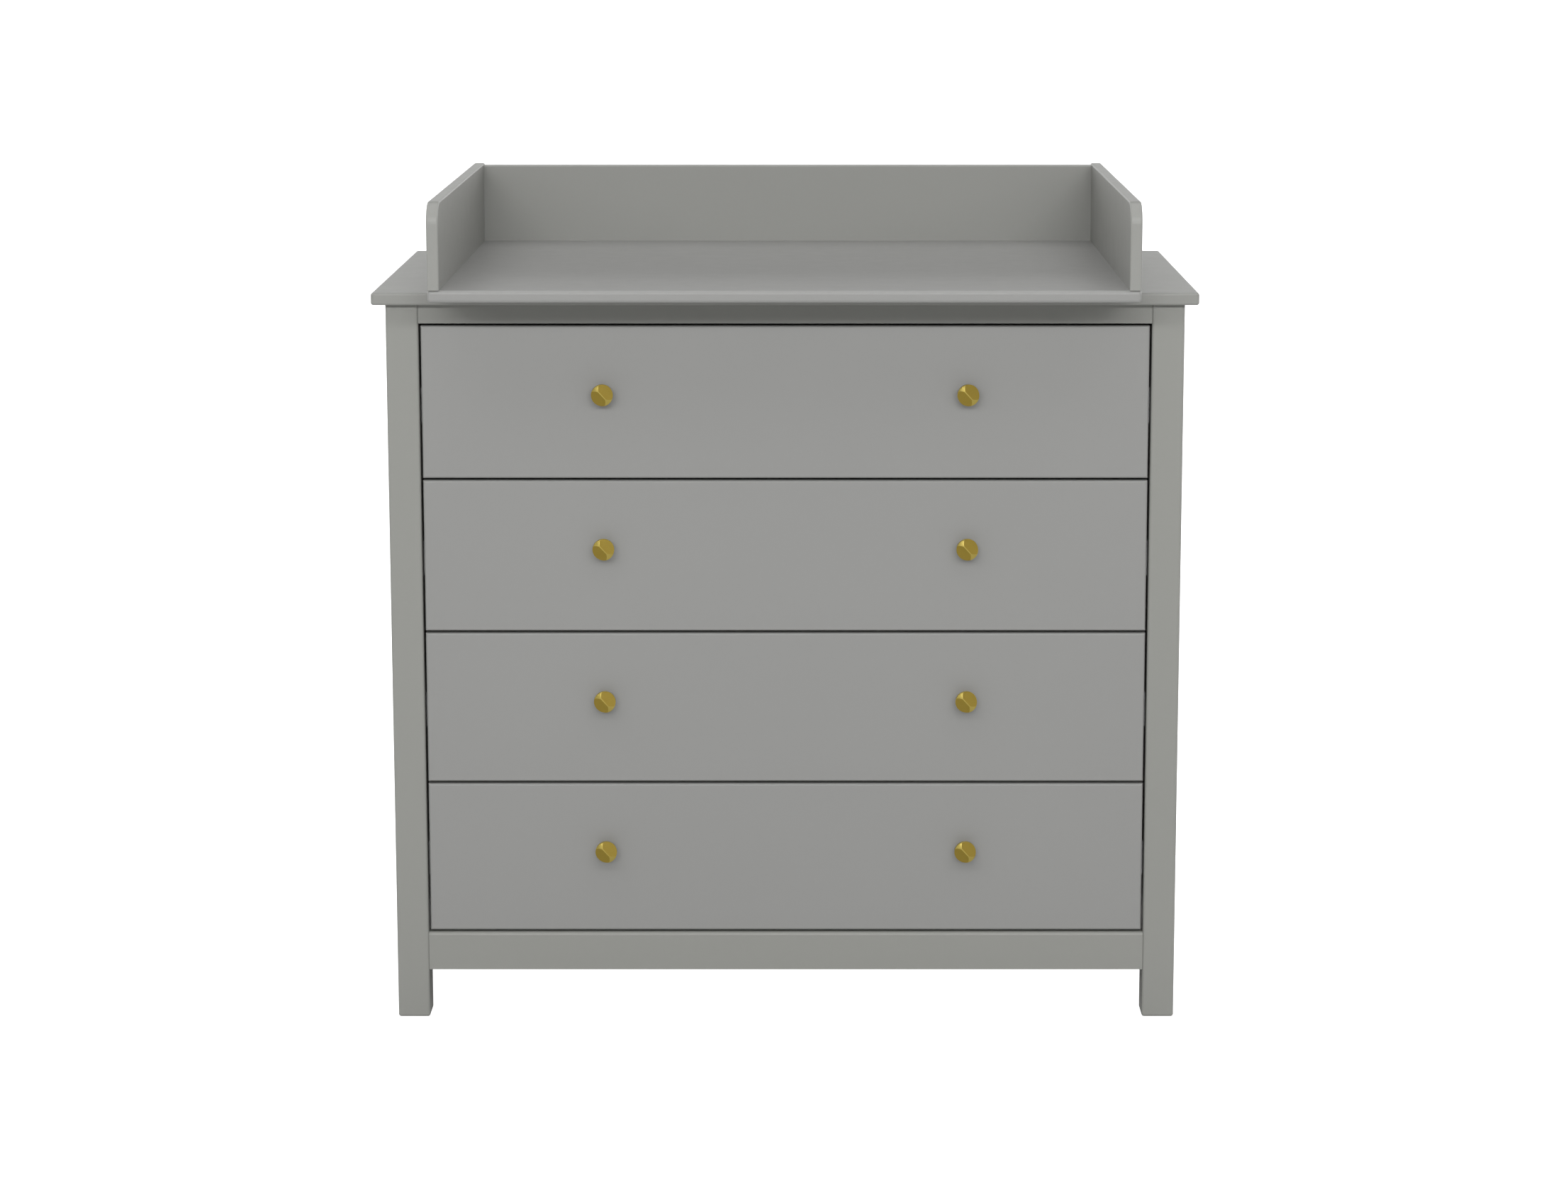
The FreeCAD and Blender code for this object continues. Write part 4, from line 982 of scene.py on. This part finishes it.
# ---- Wall brackets ----
# Angles bent from 2 mm steel, screwed up into the worktop behind the legs, with a countersunk
# hole each for the screw that holds the dresser to the wall.
bracket_sheet = 0.002
bracket_bend_r = 0.0015
bracket_corner_r = 0.004
wall_hole_r = 0.0025
wall_hole_drop = 0.025
countersink = 0.0012
brackets = bmesh.new()
bracket_holes = bmesh.new()
under_worktop = [place for place, way in carcass_screws if way.z > 0]
for low, high, points in solids("wall_brackets"):
    wide, deep, tall = high - low
    outer_r = bracket_bend_r + bracket_sheet
    bend = (deep - outer_r, -outer_r)
    outline = [(0, 0)] + arc(bend, outer_r, 90, 0, steps=8)
    outline += [(deep, -tall), (deep - bracket_sheet, -tall)]
    outline += arc(bend, bracket_bend_r, 0, 90) + [(0, -bracket_sheet)]
    across = Matrix(((0, 0, 1, low.x), (1, 0, 0, low.y), (0, 1, 0, high.z), (0, 0, 0, 1)))
    prism(brackets, outline, across, wide)
    wall_hole = Vector(((low.x + high.x) / 2, high.y - 2 * bracket_sheet, high.z - wall_hole_drop))
    mouth_r = wall_hole_r + countersink
    flare = [(0, 0), (mouth_r, 0), (mouth_r, bracket_sheet), (wall_hole_r, bracket_sheet + countersink)]
    flare += [(wall_hole_r, 3 * bracket_sheet), (0, 3 * bracket_sheet)]
    turn(bracket_holes, flare, facing(wall_hole, Vector((0, 1, 0))), segments=32)
    shaft = [(0, 0), (screw_hole_r, 0), (screw_hole_r, 3 * bracket_sheet), (0, 3 * bracket_sheet)]
    for place in under_worktop:
        if low.x < place.x < high.x:
            screw_hole = Matrix.Translation((place.x, place.y, high.z - 2 * bracket_sheet))
            turn(bracket_holes, shaft, screw_hole, segments=screw_hole_sides)
corners = []
for edge in brackets.edges:
    if abs(edge.calc_length() - bracket_sheet) < same_place:
        corners.append(edge)
bmesh.ops.bevel(brackets, geom=corners, offset=bracket_corner_r, segments=6, affect="EDGES", profile=0.5)
brackets = piece_from(carve(brackets, bracket_holes), "wall_angle_brackets", zinc)
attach(brackets, "carcass")
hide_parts("wall_brackets")

# ---- Knobs ----
# Turned brass with a gold lacquer: a stem under a domed head, milled with two sloping flats
# that leave a narrow diagonal ridge. The flats are satin, the ridge and dome are polished, and
# the flats carry a darker gold as painted shade.
knob_sides = 96
knob_foot = (0.008, 0.002)
knob_neck_r = 0.0055
knob_rim_back = 0.014
knob_projection = 0.022
knob_dome_r = 0.035
knob_rim_r = 0.0004
knob_throat_turn = 95
knob_flat_slope = math.radians(20.0)
knob_ridge_drop = 0.00043
knob_ridge_width = 0.001
knob_ridge_turn = math.radians(132.5)
knob_edge_r = 0.00012
milled_edge_angle = math.radians(12.0)
on_flat = 0.9999
# A darker copy of the polished gold: its darker colour is painted shade on the milled flats, and only its
# rougher shine is real.
satin_gold_with_painted_shade = finished_material(
    "satin_gold_with_painted_shade",
    drawn_metal,
    {
        "Colour": (0.30, 0.213, 0.029, 1),
        "Stain": (0.275, 0.194, 0.025, 1),
        "Shine": 0.46,
        "Streak Run": (1500.0, 1500.0, 1500.0),
    },
    {"Metallic": 0.55},
)
polished_gold = finished_material(
    "polished_gold",
    drawn_metal,
    {
        "Colour": (0.43, 0.335, 0.075, 1),
        "Stain": (0.40, 0.31, 0.068, 1),
        "Shine": 0.38,
        "Streak Run": (1500.0, 1500.0, 1500.0),
    },
    {"Metallic": 0.6},
)


def knob_outline(radius):
    """The stem and domed head, as (radius, height) from the foot to the crown."""
    foot_r, foot_thick = knob_foot
    flare = radius - knob_neck_r
    throat_z = knob_rim_back - flare
    outline = [(0, 0), (foot_r, 0), (foot_r, foot_thick - knob_rim_r)]
    outline += [(foot_r - knob_rim_r, foot_thick), (knob_neck_r, foot_thick)]
    outline += arc((radius, throat_z), flare, 180, knob_throat_turn, steps=12)
    outline += arc((radius - knob_rim_r, knob_rim_back + knob_rim_r), knob_rim_r, -90, 0, steps=4)
    rim_angle = math.degrees(math.acos(radius / knob_dome_r))
    dome = arc((0, knob_projection - knob_dome_r), knob_dome_r, rim_angle, 90, steps=14)
    return outline + dome[:-1] + [(0, knob_projection)]


knob_ridge_z = knob_projection - knob_ridge_drop
knob_level_z = knob_ridge_z - knob_ridge_width / 2 * math.tan(knob_flat_slope)
along_ridge = Vector((math.cos(knob_ridge_turn), math.sin(knob_ridge_turn), 0))
mill_level = Matrix.Translation((0, 0, knob_level_z))
mill_flats = [
    Matrix.Translation((0, 0, knob_ridge_z)) @ Matrix.Rotation(way * knob_flat_slope, 4, along_ridge)
    for way in (-1, 1)
]
mill_width = [(x * knob_projection, y * knob_projection) for x, y in quarters]
for number in drawer_numbers:
    node = f"drawer_{number}_knobs"
    knobs = bmesh.new()
    places = []
    for low, high, points in solids(node):
        foot = Vector(((low.x + high.x) / 2, high.y, (low.z + high.z) / 2))
        places.append(facing(foot, Vector((0, -1, 0))))
        turn(knobs, knob_outline((high.x - low.x) / 2), places[-1], segments=knob_sides)
        head_front_y = high.y - knob_rim_back - 2 * knob_rim_r
    for mill in [mill_level] + mill_flats:
        waste = bmesh.new()
        for place in places:
            prism(waste, mill_width, place @ mill, knob_projection)
        knobs = carve(knobs, waste)
    milled = []
    for edge in knobs.edges:
        in_front = max(vertex.co.y for vertex in edge.verts) < head_front_y
        if in_front and edge.calc_face_angle(0) > milled_edge_angle:
            milled.append(edge)
    bmesh.ops.bevel(knobs, geom=milled, offset=knob_edge_r, segments=3, affect="EDGES", profile=0.5)
    knobs = piece_from(knobs, f"drawer_{number}_turned_knobs", polished_gold)
    knobs.data.materials.append(satin_gold_with_painted_shade)
    # The faces of the flats take the darker gold, which is painted shade.
    flat_ways = [(places[0] @ mill).to_3x3() @ Vector((0, 0, 1)) for mill in mill_flats]
    for face in knobs.data.polygons:
        if any(face.normal.dot(way) > on_flat for way in flat_ways):
            face.material_index = 1
            face.use_smooth = False
    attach(knobs, f"drawer_{number}")
    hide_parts(node)

low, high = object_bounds()
